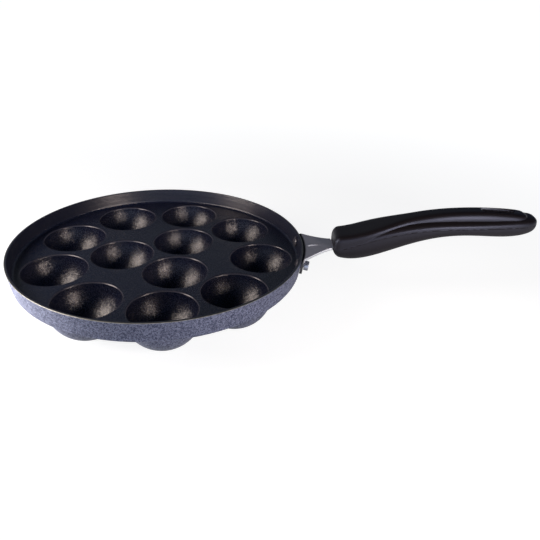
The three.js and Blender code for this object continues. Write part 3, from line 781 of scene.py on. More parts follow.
def bead_glint(points, bracket, at):
    """How much a point lies on the bead's painted highlight: a band across it, times a fade along it.
    """
    along = (points[:, 0] - at.bend_x) / bracket.bead_length
    top = points[:, 2] > tang_height(at, bracket, points[:, 0])
    near = band(np.abs(points[:, 1] + GLINT_PLACE), GLINT_WIDTH)
    return near * np.clip(GLINT_END - along, 0, 1) * (along > GLINT_START) * top


class PAN_OT_bracket(bpy.types.Operator):
    """Builds the stamped bracket with its flange, bend, flaring neck, bead and tang."""

    bl_idname = "pan.bracket"
    bl_label = "Bracket"

    def execute(self, context):
        scene = context.scene
        bracket, at = scene.bracket_sizes, layout(scene)
        mesh = closed_mesh("bracket_sheet", [(bracket_skin(bracket, at), 0)])
        mark(mesh, "rubbed", bead_glint(mesh_points(mesh), bracket, at))
        carry(mesh, at.axis)
        piece = new_piece("bracket_sheet", mesh, [satin_steel(scene)])
        finish_piece(piece, ["handle_bracket"])
        return {"FINISHED"}


def bezier(controls, share):
    """Bezier line through evenly spread control values: sum of C(n, k) s^k (1 - s)^(n - k) c_k."""
    n = len(controls) - 1
    k = np.arange(n + 1)
    counts = np.array([math.comb(n, i) for i in k])
    s = share[..., None]
    return (counts * np.array(controls) * MM * s ** k * (1 - s) ** (n - k)).sum(-1)


def remaining(share, fullness):
    """Share of its full size that a rounded form has at a share s of its reach: (1 - s^n)^(1/n)."""
    return (1 - share ** fullness) ** (1 / fullness)


def rounded_end(x, end, reach, fullness):
    """Share of the full size left at x where a form closes over a reach up to its end."""
    return remaining(np.clip((x - end + reach) / reach, 0, 1), fullness)


def outline(a, half_width, half_height, fullness):
    """Distance from the middle to a rounded outline: (|cos a / w|^n + |sin a / h|^n)^(-1/n)."""
    across = np.abs(np.cos(a)) / half_width
    up = np.abs(np.sin(a)) / half_height
    return (across ** fullness + up ** fullness) ** (-1 / fullness)


THIN = 0.01 * MM  # least half width of the pad past its end
TIP_GAP = 0.02 * MM  # last section to the tip


def grip_sizes_at(grip, x):
    """Half sizes of the grip's section at distances x from its front, each as an array like x.

    Widths and heights follow Bezier lines, less the rounding of the front, times that of the ends. The
    pad goes from the box front's width and shape to its own as 3 s^2 - 2 s^3.
    """
    share = x / grip.grip_length
    pad_end = grip.grip_length - grip.pad_set_back
    inset = set_back(grip.front_radius, x)
    seam = bezier(grip.seam_line, share)
    width = bezier(grip.width_line, share) - inset
    thinning = rounded_end(x, grip.grip_length, grip.end_rounding, grip.end_fullness)
    shoulder = grip.shoulder_height * thinning
    s = np.clip((x - grip.pad_start) / grip.pad_narrowing, 0, 1)
    narrowing = s * s * (3 - 2 * s)
    pad_width = width + (grip.pad_half_width - width) * narrowing
    pad_width = pad_width * rounded_end(x, pad_end, grip.pad_end_length, grip.end_fullness)
    pad_height = bezier(grip.top_line, share) - seam - inset
    drop = rounded_end(x, pad_end, grip.pad_end_rounding, 2)
    return SimpleNamespace(
        seam=seam,
        width=width * rounded_end(x, grip.grip_length, grip.end_length, grip.end_fullness),
        below=(seam - bezier(grip.bottom_line, share) - inset) * thinning,
        shoulder=shoulder,
        pad_width=np.maximum(pad_width, THIN),
        pad_height=shoulder + (pad_height - shoulder) * drop,
        pad_shape=grip.front_fullness + (grip.pad_fullness - grip.front_fullness) * narrowing)


LEDGE_LEAST = 0.06  # least angle of the ledge, in radians
HALVINGS = 40


def ledge_angle(grip, sizes):
    """Angle at which the pad's side meets the shoulder, found by halving."""
    low = np.full_like(sizes.seam, LEDGE_LEAST)
    high = QUARTER - low
    for _ in range(HALVINGS):
        middle = (low + high) / 2
        body = outline(middle, sizes.width, sizes.shoulder, grip.shoulder_fullness)
        pad = outline(middle, sizes.pad_width, sizes.pad_height, sizes.pad_shape)
        high = np.where(pad > body, middle, high)
        low = np.where(pad > body, low, middle)
    return high


def grip_stations(grip):
    """Distances from the front, closer together where the ends are rounded."""
    pad_end = grip.grip_length - grip.pad_set_back
    pad_turn = pad_end - grip.pad_end_length
    last = grip.grip_length - TIP_GAP
    counts = (STEPS.grip_front, STEPS.pad_end, STEPS.tip)
    front, turning, tip = (np.linspace(0, QUARTER, n + 1) for n in counts)
    return np.concatenate([
        grip.front_radius * (1 - np.cos(front)),
        np.linspace(grip.front_radius, pad_turn, STEPS.grip + 1)[1:],
        pad_turn + grip.pad_end_length * np.sin(turning)[1:],
        pad_end + (last - pad_end) * np.sin(tip)[1:],
    ])


FRONT_ROWS = (0, 0.5, 0.97)  # rows of the flat front, as shares of its outline
SEAM_CROWDING = 1.5  # above 1, the columns of a side lie closer at the parting line
BELLY_CROWDING = 0.8  # from 0 to 1, the same for the columns of the belly


def grip_skin(grip):
    """Closed sections of the grip along X: belly, shoulder, pad, shoulder.

    Below the parting line the outline is the belly's, above it the greater of the shoulder's and the
    pad's. The corner between them is one column of the grid. A fine ridge h exp(-(d / w)^2) follows the
    parting line, d being the height over it.
    """
    x = grip_stations(grip)[:, None]
    sizes = grip_sizes_at(grip, x)
    ledge = ledge_angle(grip, sizes)
    t, rise, across = (np.arange(n) / n for n in (STEPS.belly, STEPS.side, STEPS.pad))
    belly = (t - BELLY_CROWDING * np.sin(2 * np.pi * t) / (2 * np.pi)) * np.pi - np.pi + 0 * ledge
    side = ledge * rise ** SEAM_CROWDING
    over = ledge + (np.pi - 2 * ledge) * across
    far = np.pi - ledge * (1 - rise) ** SEAM_CROWDING
    a = np.concatenate([belly, side, over, far], 1)
    below = outline(a, sizes.width, sizes.below, grip.belly_fullness)
    body = outline(a, sizes.width, sizes.shoulder, grip.shoulder_fullness)
    pad = outline(a, sizes.pad_width, sizes.pad_height, sizes.pad_shape)
    reach = np.where(a < 0, below, np.maximum(body, pad))
    off_seam = np.abs(np.sin(a)) * reach
    reach = reach + grip.ridge_height * np.exp(-(off_seam / grip.ridge_width) ** 2) * (x > MM)
    sections = np.stack([x + 0 * a, reach * np.cos(a), sizes.seam + reach * np.sin(a)], -1)
    first, last = (np.array([x[i, 0], 0, sizes.seam[i, 0]]) for i in (0, -1))
    front = [first + (sections[0] - first) * share for share in FRONT_ROWS]
    return np.concatenate([front, sections, [last + 0 * sections[-1]]])


SIDE_SHARE = 0.7  # share of the half width beyond which a point lies on the grip's side


def seam_trace(points, grip):
    """How much a point lies on the parting line: exp(-(height off it / width)^2) on the sides."""
    sizes = grip_sizes_at(grip, np.clip(points[:, 0], 0, grip.grip_length))
    off = (points[:, 2] - sizes.seam) / grip.ridge_width
    return np.exp(-off ** 2) * (np.abs(points[:, 1]) > SIDE_SHARE * sizes.width)


SLOT_LIFT = 0.05 * MM  # how far the slot's roundings start above the skin, so that the cut is clean


def hang_slot(grip):
    """Long hole with round ends, whose mouths flare out over a rounding of radius r.

    A row at height z is the slot's outline moved out by e: e = r (1 - sin b), z = top - r (1 - cos b)
    at the pad's top, the same upside down at the belly, and straight between.
    """
    rounding, half = grip.slot_rounding, grip.slot_width / 2
    end = grip.grip_length - grip.slot_set_back - half
    start = end - grip.slot_length + grip.slot_width
    around = np.linspace(-QUARTER, QUARTER, STEPS.slot_end + 1)
    a = np.append(around, around + math.pi)
    centre = np.repeat([end, start], len(around))
    b = np.linspace(0, QUARTER, STEPS.slot_mouth + 1)
    flare = rounding * (1 - np.sin(b))
    fall = rounding * (1 - np.cos(b)) - SLOT_LIFT
    out = np.concatenate([[rounding], flare, flare[::-1], [rounding]])[:, None]
    x = centre + (half + out) * np.cos(a)
    y = (half + out) * np.sin(a)
    sizes = grip_sizes_at(grip, x)
    top = sizes.seam + sizes.pad_height * remaining(np.abs(y) / sizes.pad_width, grip.pad_fullness)
    bottom = sizes.seam - sizes.below * remaining(np.abs(y) / sizes.width, grip.belly_fullness)
    drop = np.append(-PAST.slot, fall)[:, None]
    z = np.concatenate([top[:len(drop)] - drop, bottom[len(drop):] + drop[::-1]])
    return capped(np.stack([x, y, z], -1))


SLOT_GLINT_PLACE = 0.4  # slot's edge to the middle of the painted highlight band on its mouth, in mouth roundings
SLOT_GLINT_BAND = 0.25  # half width of that band, in mouth roundings


def slot_glint(points, grip):
    """How much a point lies on the painted highlight round the slot's mouth.

    It is a band round the slot's outline, times a share that rises from 0 at a sixth of the slot's
    length before its outer end to 1 a quarter of that length further in.
    """
    half = grip.slot_width / 2
    middle = grip.grip_length - grip.slot_set_back - grip.slot_length / 2
    beyond = np.maximum(np.abs(points[:, 0] - middle) - grip.slot_length / 2 + half, 0)
    off = np.abs(np.hypot(beyond, points[:, 1]) - half - SLOT_GLINT_PLACE * grip.slot_rounding)
    along = (middle + grip.slot_length / 3 - points[:, 0]) / (grip.slot_length / 4)
    return band(off, SLOT_GLINT_BAND * grip.slot_rounding) * np.clip(along, 0, 1)


def screw_place(bracket, grip, at):
    """Where the screw crosses the tang, with Z square to the tang."""
    x = at.grip_front + bracket.tang_length - grip.screw_set_back
    return at.axis @ shift(x, 0, tang_height(at, bracket, x)) @ turn(1, -bracket.neck_slope)


def screw_stack(bracket, grip):
    """Heights over the middle of the tang, along the screw."""
    gap = bracket.seat_gap
    roof = bracket.thickness / 2 + gap
    washer_seat = -roof - grip.screw_floor
    head_seat = washer_seat - grip.washer_thickness - 2 * gap
    insert_foot = roof + gap
    return SimpleNamespace(washer_seat=washer_seat, head_seat=head_seat, insert_foot=insert_foot,
                           pocket_roof=insert_foot + grip.insert_length + gap,
                           tip=insert_foot + grip.screw_engagement)


def tang_socket(bracket, at):
    """Socket for the tang: a rounded four-sided outline carried along the tang."""
    gap = bracket.seat_gap
    side, lift, corner_side, corner_lift = sheet_section(STEPS.socket).T
    y = side * bracket.tang_half_width + corner_side * gap
    z = lift * bracket.thickness / 2 + corner_lift * gap
    deep = bracket.tang_length / math.cos(bracket.neck_slope) + gap
    x = np.array([-PAST.socket, -PAST.socket, deep, deep])[:, None]
    size = np.array([0, 1, 1, 0])[:, None]
    grid = np.stack([x + 0 * y, size * y, size * z], -1)
    place = at.axis @ shift(at.grip_front, 0, at.tang_front) @ turn(1, -bracket.neck_slope)
    return placed(grid, place)


def screw_bore(bracket, grip):
    """Room for screw, washer and insert, turned about the screw's axis."""
    stack, gap = screw_stack(bracket, grip), bracket.seat_gap
    wide = grip.washer_radius + 2 * gap
    narrow = grip.screw_radius + gap
    pocket = grip.insert_radius + gap
    deep = stack.washer_seat - PAST.bore
    profile = [[0, deep], [wide, deep], [wide, stack.washer_seat], [narrow, stack.washer_seat],
               [narrow, 0], [pocket, 0], [pocket, stack.pocket_roof], [0, stack.pocket_roof]]
    return turned(np.array(profile), RIVET_SEGMENTS)


class PAN_OT_grip(bpy.types.Operator):
    """Builds the moulded grip with its pad, hang slot, socket and screw bore."""

    bl_idname = "pan.grip"
    bl_label = "Grip"

    def execute(self, context):
        scene = context.scene
        bracket, grip, at = scene.bracket_sizes, scene.grip_sizes, layout(scene)
        place = at.axis @ shift(at.grip_front, 0, at.tang_front)
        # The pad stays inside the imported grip's box, which its facets make a hair lower.
        skin = np.minimum(grip_skin(grip), [np.inf, np.inf, at.grip_top - at.tang_front])
        mesh = closed_mesh("moulded_grip", [(skin, 0)])
        mark(mesh, "seam", seam_trace(mesh_points(mesh), grip))
        carry(mesh, place)
        piece = new_piece("moulded_grip", mesh, [phenolic(scene)])
        bore = placed(screw_bore(bracket, grip), screw_place(bracket, grip, at))
        cut(piece, [placed(hang_slot(grip), place), tang_socket(bracket, at), bore])
        points = placed(mesh_points(piece.data), np.linalg.inv(place))
        mark(piece.data, "rubbed", slot_glint(points, grip))
        finish_piece(piece, ["handle_grip"])
        return {"FINISHED"}


def screw_skin(bracket, grip):
    """Pan-head screw turned about Z: domed head, shank and tapered tip."""
    stack, radius = screw_stack(bracket, grip), grip.screw_radius
    head = dome(grip.screw_head, grip.screw_head_height, stack.head_seat, STEPS.dome)
    taper = radius / 3
    shank = [[radius, stack.head_seat], [radius, stack.tip - taper],
             [radius - taper, stack.tip], [0, stack.tip]]
    return turned(np.concatenate([head, shank]), RIVET_SEGMENTS)


RECESS_FOOT = 0.75  # size of a recess arm's foot, as a share of its mouth


def recess_arm(bracket, grip, around):
    """One arm of the cross recess: a four-sided bar that narrows as it goes down into the head."""
    foot = screw_stack(bracket, grip).head_seat - grip.screw_head_height
    corners = np.array([[-1, -1], [1, -1], [1, 1], [-1, 1]])
    x, y = (corners * [grip.recess_span, grip.recess_width] / 2).T
    past, deep = -PAST.recess, grip.recess_depth
    size, z = np.array([(0, past), (1, past), (1, 0), (RECESS_FOOT, deep), (0, deep)]).T[:, :, None]
    return placed(np.stack([size * x, size * y, foot + z + 0 * x], -1), turn(2, around))


class PAN_OT_fastening(bpy.types.Operator):
    """Builds the screw and finishes the washer and the insert."""

    bl_idname = "pan.fastening"
    bl_label = "Fastening"

    def execute(self, context):
        scene = context.scene
        bracket, grip, at = scene.bracket_sizes, scene.grip_sizes, layout(scene)
        place = screw_place(bracket, grip, at)
        zinc = zinc_plate(scene)
        mesh = closed_mesh("pan_head_screw", [(placed(screw_skin(bracket, grip), place), 0)])
        piece = new_piece("pan_head_screw", mesh, [zinc])
        cut(piece, [placed(recess_arm(bracket, grip, a), place) for a in (0, QUARTER)])
        finish_piece(piece, ["grip_screw"])
        for name, finish in (("lock_washer", zinc), ("threaded_insert", turned_brass(scene))):
            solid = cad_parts[name]
            solid.data.materials.clear()
            solid.data.materials.append(finish)
        return {"FINISHED"}


def add_node(tree, kind, inputs=None, **settings):
    """Adds a shader node with its settings.

    inputs gives, by socket, a value, a socket to link, or a node whose first output is linked.
    """
    node = tree.nodes.new("ShaderNode" + kind)
    for name, value in settings.items():
        setattr(node, name, value)
    for name, value in (inputs or {}).items():
        if isinstance(value, bpy.types.Node):
            value = value.outputs[0]
        if isinstance(value, bpy.types.NodeSocket):
            tree.links.new(value, node.inputs[name])
        else:
            node.inputs[name].default_value = value
    return node


def start_finish(name):
    """New empty material, what adds nodes to it, and its object coordinates."""
    material = bpy.data.materials.new(name)
    material.use_nodes = True
    material.node_tree.nodes.clear()
    add = partial(add_node, material.node_tree)
    return material, add, add("TexCoord").outputs["Object"]


def per_mm(size):
    """Scale of a texture whose features are size millimetres across."""
    return 1 / (size * MM)


def non_stick(scene):
    """Sprayed and baked non-stick coat with mica: satin black, with fine warm flakes in its highlights.

    The pan and the rivets' heads share it. On the wall above the plate it shows turning marks. Where
    it is worn, its flakes lie flatter and it is smoother.
    """
    known = bpy.data.materials.get("non_stick_coat")
    if known:
        return known
    colours, at = scene.finishes, layout(scene)
    material, add, where = start_finish("non_stick_coat")
    wear = add("Attribute", attribute_name="wear").outputs["Fac"]
    height = add("SeparateXYZ", {0: where}).outputs["Z"]
    spun = add("MapRange", {"Value": height, "From Min": at.plate_top + 0.5 * MM,
                            "From Max": at.plate_top + 3 * MM})
    # Real flakes are about 0.1 mm; drawn at 0.28 mm so that they show.
    cells = add("TexVoronoi", {"Vector": where, "Scale": per_mm(0.28)}, feature="F1").outputs["Color"]
    tilt = add("VectorMath", {0: cells, 1: (0.5, 0.5, 0.5)}, operation="SUBTRACT")
    lie = add("MapRange", {"Value": wear, "To Min": 0.36, "To Max": 0.1})
    tilt = add("VectorMath", {0: tilt, "Scale": lie}, operation="SCALE")
    # Turning marks round the wall are about 0.1 mm apart; drawn at 0.25 mm so that they show.
    marks = add("TexNoise", {"W": height, "Scale": per_mm(0.25), "Detail": 1.0}, noise_dimensions="1D")
    lean = add("MapRange", {"Value": marks, "From Min": 0.3, "From Max": 0.7,
                            "To Min": -0.28, "To Max": 0.28})
    groove = add("CombineXYZ", {"Z": lean})
    tilt = add("MixRGB", {"Fac": spun, "Color1": tilt, "Color2": groove})
    tilt = add("VectorMath", {0: add("NewGeometry").outputs["Normal"], 1: tilt}, operation="ADD")
    tilt = add("VectorMath", {0: tilt}, operation="NORMALIZE")
    flake = add("MapRange", {"Value": add("SeparateXYZ", {0: cells}), "From Min": 0.6, "To Max": 0.07})
    flake = add("Math", {0: wear, 1: 0.08, 2: flake}, operation="MULTIPLY_ADD")
    flake = add("Math", {0: spun, 1: 0.01, 2: flake}, operation="MULTIPLY_ADD")
    cloud = add("TexNoise", {"Vector": where, "Scale": per_mm(30), "Detail": 3.0})
    rough = add("MapRange", {"Value": cloud, "To Min": 0.22, "To Max": 0.27})
    rough = add("Math", {0: wear, 1: -0.05, 2: rough}, operation="MULTIPLY_ADD")
    rough = add("Math", {0: spun, 1: 0.07, 2: rough}, operation="MULTIPLY_ADD")
    shade = add("MixRGB", {"Fac": flake, "Color1": colours.coat, "Color2": colours.flake})
    shader = add("BsdfPrincipled", {
        "Base Color": shade, "Metallic": flake, "Roughness": rough, "Normal": tilt, "IOR": 1.6,
        "Specular IOR Level": 0.62, "Specular Tint": colours.coat_sheen})
    add("OutputMaterial", {"Surface": shader})
    return material


def bare_rim(scene):
    """Turned bare aluminium: bright, with fine darker marks."""
    colours = scene.finishes
    material, add, where = start_finish("turned_aluminium")
    marks = add("TexNoise", {"Vector": where, "Scale": per_mm(2), "Detail": 4.0})
    rough = add("MapRange", {"Value": marks, "To Min": 0.25, "To Max": 0.5})
    shade = add("MixRGB", {"Fac": marks, "Color1": colours.bare, "Color2": colours.bare_dark})
    bump = add("Bump", {"Height": marks, "Strength": 0.2, "Distance": 0.05 * MM})
    shader = add("BsdfPrincipled", {
        "Base Color": shade, "Metallic": 1.0, "Roughness": rough, "Normal": bump})
    add("OutputMaterial", {"Surface": shader})
    return material


def hammered_enamel(scene):
    """Baked hammered enamel: pale raised cells in a darker blue vein, with a soft metallic sheen."""
    colours = scene.finishes
    material, add, where = start_finish("hammered_enamel")
    cells = add("TexNoise", {"Vector": where, "Scale": per_mm(1.25), "Detail": 1.0, "Roughness": 0.5,
                             "Distortion": 1.6})
    vein = add("MapRange", {"Value": cells, "From Min": 0.42, "From Max": 0.6})
    shade = add("MixRGB", {"Fac": vein, "Color1": colours.enamel_dark, "Color2": colours.enamel_light})
    drift = add("TexNoise", {"Vector": where, "Scale": per_mm(40), "Detail": 2.0})
    tone = add("MapRange", {"Value": drift, "To Min": 0.85, "To Max": 1.1})
    shade = add("MixRGB", {"Fac": 1.0, "Color1": shade, "Color2": tone}, blend_type="MULTIPLY")
    bump = add("Bump", {"Height": cells, "Strength": 0.35, "Distance": 0.25 * MM})
    shader = add("BsdfPrincipled", {
        "Base Color": shade, "Metallic": 0.1, "Roughness": 0.45, "Normal": bump,
        "Specular IOR Level": 0.1, "Coat Weight": 0.25, "Coat Roughness": 0.25})
    add("OutputMaterial", {"Surface": shader})
    return material


def satin_steel(scene):
    """Tumbled, plated sheet steel: satin grey, edges bright as bare metal and painted highlight,
    painted shade by the wall.
    """
    colours, at = scene.finishes, layout(scene)
    material, add, where = start_finish("plated_steel")
    stretch = add("Mapping", {"Vector": where, "Scale": (0.15, 1, 1)})
    brush = add("TexNoise", {"Vector": stretch, "Scale": per_mm(0.9), "Detail": 3.0})
    shade = add("MixRGB", {"Fac": brush, "Color1": colours.steel, "Color2": colours.steel_light})
    facing = add("SeparateXYZ", {0: add("NewGeometry").outputs["Normal"]}).outputs["Z"]
    # Out from the rim, the painted shade of the gap by the wall gives way to the bright sheared edge.
    place = add("VectorMath", {0: where, 1: at.axis[:3, 3].tolist()}, operation="SUBTRACT")
    place = add("VectorMath", {0: place, 1: (1, 1, 0)}, operation="MULTIPLY")
    place = add("VectorMath", {0: place}, operation="LENGTH").outputs["Value"]
    away = add("MapRange", {"Value": place, "From Min": at.rim + 1.2 * MM,
                            "From Max": at.rim + 2.4 * MM}, interpolation_type="SMOOTHSTEP")
    # The sheared edges are painted bright: partly bare metal, partly a painted highlight.
    sheared = add("MapRange", {"Value": facing, "From Min": 0.7, "From Max": 0.3})
    sheared = add("Math", {0: sheared, 1: away}, operation="MULTIPLY")
    shade = add("MixRGB", {"Fac": sheared, "Color1": shade, "Color2": colours.steel_edge_and_glint})
    # Painted shade: faces that turn down go back to the plain, darker steel.
    under = add("MapRange", {"Value": facing, "From Min": -0.2, "From Max": -0.6})
    shade = add("MixRGB", {"Fac": under, "Color1": shade, "Color2": colours.steel})
    # Painted shade of the gap by the wall: dark steel near the rim, a little less on faces that turn
    # from up.
    upper = add("MapRange", {"Value": facing, "From Max": 0.4, "To Min": 0.85})
    gap_shade = add("MapRange", {"Value": away, "To Min": upper, "To Max": 0.0})
    shade = add("MixRGB", {"Fac": gap_shade, "Color1": shade, "Color2": colours.steel_gap_shade})
    # Painted highlight: a bright line along the bead, with less metal so that it stays bright.
    bead = add("Attribute", attribute_name="rubbed").outputs["Fac"]
    shade = add("MixRGB", {"Fac": bead, "Color1": shade, "Color2": colours.steel_edge_and_glint})
    metal = add("MapRange", {"Value": bead, "To Min": 0.7, "To Max": 0.1})
    rough = add("MapRange", {"Value": brush, "To Min": 0.42, "To Max": 0.56})
    bump = add("Bump", {"Height": brush, "Strength": 0.15, "Distance": 0.05 * MM})
    shader = add("BsdfPrincipled", {
        "Base Color": shade, "Metallic": metal, "Roughness": rough, "Normal": bump})
    add("OutputMaterial", {"Surface": shader})
    return material


def rivet_metal(scene):
    """Upset aluminium: pale and satin, with faint press marks."""
    material, add, where = start_finish("rivet_aluminium")
    marks = add("TexNoise", {"Vector": where, "Scale": per_mm(1.2), "Detail": 3.0})
    rough = add("MapRange", {"Value": marks, "To Min": 0.3, "To Max": 0.5})
    bump = add("Bump", {"Height": marks, "Strength": 0.25, "Distance": 0.08 * MM})
    shader = add("BsdfPrincipled", {
        "Base Color": scene.finishes.rivet, "Metallic": 1.0, "Roughness": rough, "Normal": bump})
    add("OutputMaterial", {"Surface": shader})
    return material


def phenolic(scene):
    """Compression-moulded phenolic: black with a soft gloss, faint brown filler and a painted highlight
    round the slot's mouth.

    The parting line is dull in dashes, where its flash was trimmed off.
    """
    colours = scene.finishes
    material, add, where = start_finish("moulded_phenolic")
    specks = add("TexNoise", {"Vector": where, "Scale": per_mm(0.8), "Detail": 2.0})
    filler = add("MapRange", {"Value": specks, "From Min": 0.55, "From Max": 0.75})
    shade = add("MixRGB", {"Fac": filler, "Color1": colours.grip, "Color2": colours.grip_filler})
    # Painted highlight round the hang slot's mouth, in a pale grey.
    rubbed = add("Attribute", attribute_name="rubbed").outputs["Fac"]
    shade = add("MixRGB", {"Fac": rubbed, "Color1": shade, "Color2": colours.grip_slot_glint})
    cloud = add("TexNoise", {"Vector": where, "Scale": per_mm(14), "Detail": 4.0})
    rough = add("MapRange", {"Value": cloud, "To Min": 0.4, "To Max": 0.48})
    seam = add("Attribute", attribute_name="seam").outputs["Fac"]
    dash = add("TexNoise", {"Vector": where, "Scale": per_mm(4), "Detail": 1.0})
    dash = add("MapRange", {"Value": dash, "From Min": 0.4, "From Max": 0.55, "To Max": 0.6})
    rough = add("Math", {0: seam, 1: dash, 2: rough}, operation="MULTIPLY_ADD")
    bump = add("Bump", {"Height": specks, "Strength": 0.12, "Distance": 0.06 * MM})
    shader = add("BsdfPrincipled", {
        "Base Color": shade, "Roughness": rough, "Normal": bump, "Specular IOR Level": 0.5,
        "Specular Tint": colours.grip_sheen})
    add("OutputMaterial", {"Surface": shader})
    return material


def zinc_plate(scene):
    """Zinc-plated steel: bright grey with cloudy passivation."""
    colours = scene.finishes
    material, add, where = start_finish("zinc_plated_steel")
    cloud = add("TexNoise", {"Vector": where, "Scale": per_mm(1.5), "Detail": 3.0})
    rough = add("MapRange", {"Value": cloud, "To Min": 0.25, "To Max": 0.45})
    shade = add("MixRGB", {"Fac": cloud, "Color1": colours.zinc, "Color2": colours.zinc_light})
    shader = add("BsdfPrincipled", {"Base Color": shade, "Metallic": 1.0, "Roughness": rough})
    add("OutputMaterial", {"Surface": shader})
    return material


def turned_brass(scene):
    """Turned brass: warm yellow, with fine marks that show in its gloss."""
    material, add, where = start_finish("turned_brass")
    marks = add("TexNoise", {"Vector": where, "Scale": per_mm(0.6), "Detail": 3.0})
    rough = add("MapRange", {"Value": marks, "To Min": 0.2, "To Max": 0.4})
    shader = add("BsdfPrincipled", {
        "Base Color": scene.finishes.brass, "Metallic": 1.0, "Roughness": rough})
    add("OutputMaterial", {"Surface": shader})
    return material


def show(add, mirror):
    """How far the stage shows its white: all to camera and glass, the share mirror in reflections."""
    path = add("LightPath")
    mirrored = add("Math", {0: path.outputs["Is Glossy Ray"], 1: mirror}, operation="MULTIPLY")
    seen = add("Math", {0: path.outputs["Is Camera Ray"], 1: mirrored}, operation="MAXIMUM")
    return add("Math", {0: seen, 1: path.outputs["Is Transmission Ray"]}, operation="MAXIMUM")


def floor_finish(stage):
    """Pale matt floor that shows white to the eye and in reflections, and keeps the soft shadow."""
    material, add, where = start_finish("studio_floor")
    # Round the object the white leaves room for the light that makes the shadow.
    away = add("VectorMath", {0: where}, operation="LENGTH").outputs["Value"]
    white = add("MapRange", {"Value": away, "From Min": 0.25, "From Max": 0.6, "To Min": 0.86})
    # Under the object the floor lies in its shade, which its reflections show.
    under = add("VectorMath", {0: where, 1: (0.3, 1, 1)}, operation="MULTIPLY")
    under = add("VectorMath", {0: under}, operation="LENGTH").outputs["Value"]
    shade = add("MapRange", {"Value": under, "From Min": 0.05, "From Max": 0.17, "To Min": 0.25})
    glow = add("Math", {0: show(add, shade), 1: white}, operation="MULTIPLY")
    shader = add("BsdfPrincipled", {
        "Base Color": stage.floor, "Roughness": 0.9, "Specular IOR Level": 0.0,
        "Emission Color": (1, 1, 1, 1), "Emission Strength": glow})
    add("OutputMaterial", {"Surface": shader})
    return material


BACKDROP_MIRROR = 0.06  # share of the backdrop's white that reflections show


def backdrop_finish():
    """Pale far backdrop: white to the eye, faint in reflections, and open to the room's light."""
    material, add, _ = start_finish("studio_backdrop")
    seen = show(add, BACKDROP_MIRROR)
    shader = add("MixShader", {0: seen, 1: add("BsdfTransparent"), 2: add("Emission")})
    add("OutputMaterial", {"Surface": shader})
    return material


def soft_box(stage, side, target):
    """Upright area light by its settings on the stage, aimed at a point."""
    name = f"{side}_soft_box"
    lamp = bpy.data.lights.new(name, "AREA")
    lamp.shape = "RECTANGLE"
    lamp.size = getattr(stage, f"{side}_width")
    lamp.size_y = getattr(stage, f"{side}_height")
    lamp.energy = getattr(stage, f"{side}_power")
    lamp.color = getattr(stage, f"{side}_tint")
    light = bpy.data.objects.new(name, lamp)
    light.location = getattr(stage, f"{side}_place")
    light.rotation_euler = (Vector(target) - light.location).to_track_quat("-Z", "Y").to_euler()
    light.visible_camera = False
    bpy.context.collection.objects.link(light)


SCREEN_FACING = (-0.23, 0.86, 0.45)  # where the grey screen stands, seen from the pan


def room(stage):
    """A low bluish window behind the camera, a grey screen opposite, dim sides and a dark ceiling."""
    world = bpy.data.worlds.new("studio")
    world.use_nodes = True
    world.node_tree.nodes.clear()
    add = partial(add_node, world.node_tree)
    facing = add("TexCoord").outputs["Generated"]
    parts = add("SeparateXYZ", {0: facing}).outputs
    soft = {"interpolation_type": "SMOOTHSTEP"}
    window = add("MapRange", {"Value": parts["Y"], "From Min": -0.4, "From Max": -0.85}, **soft)
    low = add("MapRange", {"Value": parts["Z"], "From Min": 0.42, "From Max": 0.1}, **soft)
    window = add("Math", {0: window, 1: low}, operation="MULTIPLY")
    screen = add("VectorMath", {0: facing, 1: SCREEN_FACING}, operation="DOT_PRODUCT").outputs["Value"]
    screen = add("MapRange", {"Value": screen, "From Min": 0.72, "From Max": 0.98}, **soft)
    ceiling = add("MapRange", {"Value": parts["Z"], "From Min": 0.45, "From Max": 0.85}, **soft)
    sky = add("MixRGB", {"Fac": window, "Color1": stage.sides, "Color2": stage.window})
    sky = add("MixRGB", {"Fac": screen, "Color1": sky, "Color2": stage.screen})
    sky = add("MixRGB", {"Fac": ceiling, "Color1": sky, "Color2": stage.ceiling})
    light = add("Background", {"Color": sky, "Strength": stage.room_strength})
    add("OutputWorld", {"Surface": light})
    return world


FLOOR_REACH = 8.0  # middle of the floor out to its edges and to the backdrop, in metres
FLOOR_GAP = 0.2 * MM  # air under the pan, so that no faces coincide
BACKDROP_RISE = 0.47  # backdrop's height over its distance: it stands up to 25 degrees above the floor


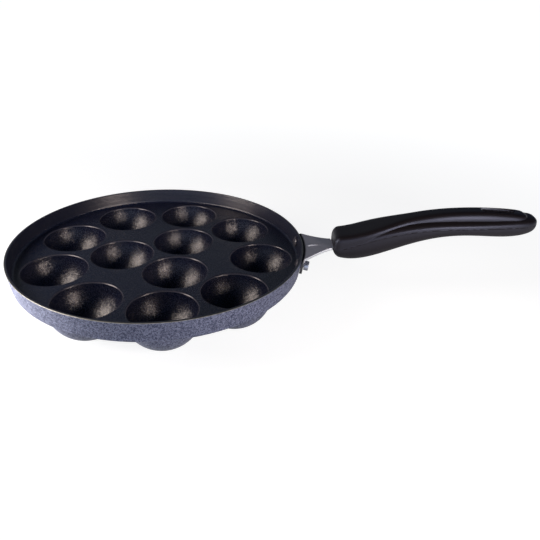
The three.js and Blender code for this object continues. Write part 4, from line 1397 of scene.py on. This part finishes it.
class PAN_OT_studio(bpy.types.Operator):
    """Builds the pale floor, the backdrop, the soft light and the camera."""

    bl_idname = "pan.studio"
    bl_label = "Studio"

    def execute(self, context):
        scene, stage = context.scene, context.scene.stage_settings
        mesh = bpy.data.meshes.new("studio_floor")
        signs = ((-1, -1), (1, -1), (1, 1), (-1, 1))
        corners = [(x * FLOOR_REACH, y * FLOOR_REACH, -FLOOR_GAP) for x, y in signs]
        mesh.from_pydata(corners, [], [(0, 1, 2, 3)])
        new_piece("studio_floor", mesh, [floor_finish(stage)])
        profile = np.array([[FLOOR_REACH, -FLOOR_GAP], [FLOOR_REACH, BACKDROP_RISE * FLOOR_REACH]])
        ring = turned(profile, WALL_SEGMENTS)
        mesh = bpy.data.meshes.new("studio_backdrop")
        mesh.from_pydata(ring.reshape(-1, 3).tolist(), [], grid_faces(*ring.shape[:2]).tolist())
        new_piece("studio_backdrop", mesh, [backdrop_finish()])
        target = layout(scene).axis[:3, 3]
        for side in ("right", "left", "low"):
            soft_box(stage, side, target)
        scene.world = room(stage)
        lens = bpy.data.cameras.new("photo_camera")
        lens.lens = stage.lens
        lens.sensor_width = stage.sensor
        lens.sensor_fit = "HORIZONTAL"
        camera = bpy.data.objects.new("photo_camera", lens)
        camera.location = stage.camera_place
        camera.rotation_euler = stage.camera_turn
        context.collection.objects.link(camera)
        scene.camera = camera
        scene.view_settings.view_transform = "Standard"
        return {"FINISHED"}


GROUPS = {
    "pan_sizes": PanSizes,
    "bracket_sizes": BracketSizes,
    "grip_sizes": GripSizes,
    "finishes": Finishes,
    "stage_settings": StageSettings,
}
OPERATORS = [
    PAN_OT_pressed_pan,
    PAN_OT_rivets,
    PAN_OT_bracket,
    PAN_OT_grip,
    PAN_OT_fastening,
    PAN_OT_studio,
]


class PAN_PT_panel(bpy.types.Panel):
    """Lists the sizes, the finishes and the steps."""

    bl_label = "Paniyaram pan"
    bl_idname = "PAN_PT_panel"
    bl_space_type = "VIEW_3D"
    bl_region_type = "UI"
    bl_category = "Pan"

    def draw(self, context):
        for operator in OPERATORS:
            self.layout.operator(operator.bl_idname)
        for name, group in GROUPS.items():
            box = self.layout.box()
            box.label(text=group.__name__)
            for prop in group.__annotations__:
                box.prop(getattr(context.scene, name), prop)


def register():
    """Registers the classes and hangs the settings on the scene."""
    for item in [*GROUPS.values(), *OPERATORS, PAN_PT_panel]:
        bpy.utils.register_class(item)
    for name, group in GROUPS.items():
        setattr(bpy.types.Scene, name, PointerProperty(type=group))


def unregister():
    """Takes the settings and the classes away."""
    for name in GROUPS:
        delattr(bpy.types.Scene, name)
    for item in [PAN_PT_panel, *OPERATORS, *GROUPS.values()]:
        bpy.utils.unregister_class(item)


def main():
    """Builds every piece."""
    register()
    bpy.ops.pan.pressed_pan()
    bpy.ops.pan.rivets()
    bpy.ops.pan.bracket()
    bpy.ops.pan.grip()
    bpy.ops.pan.fastening()
    bpy.ops.pan.studio()


if __name__ == "__main__":
    main()
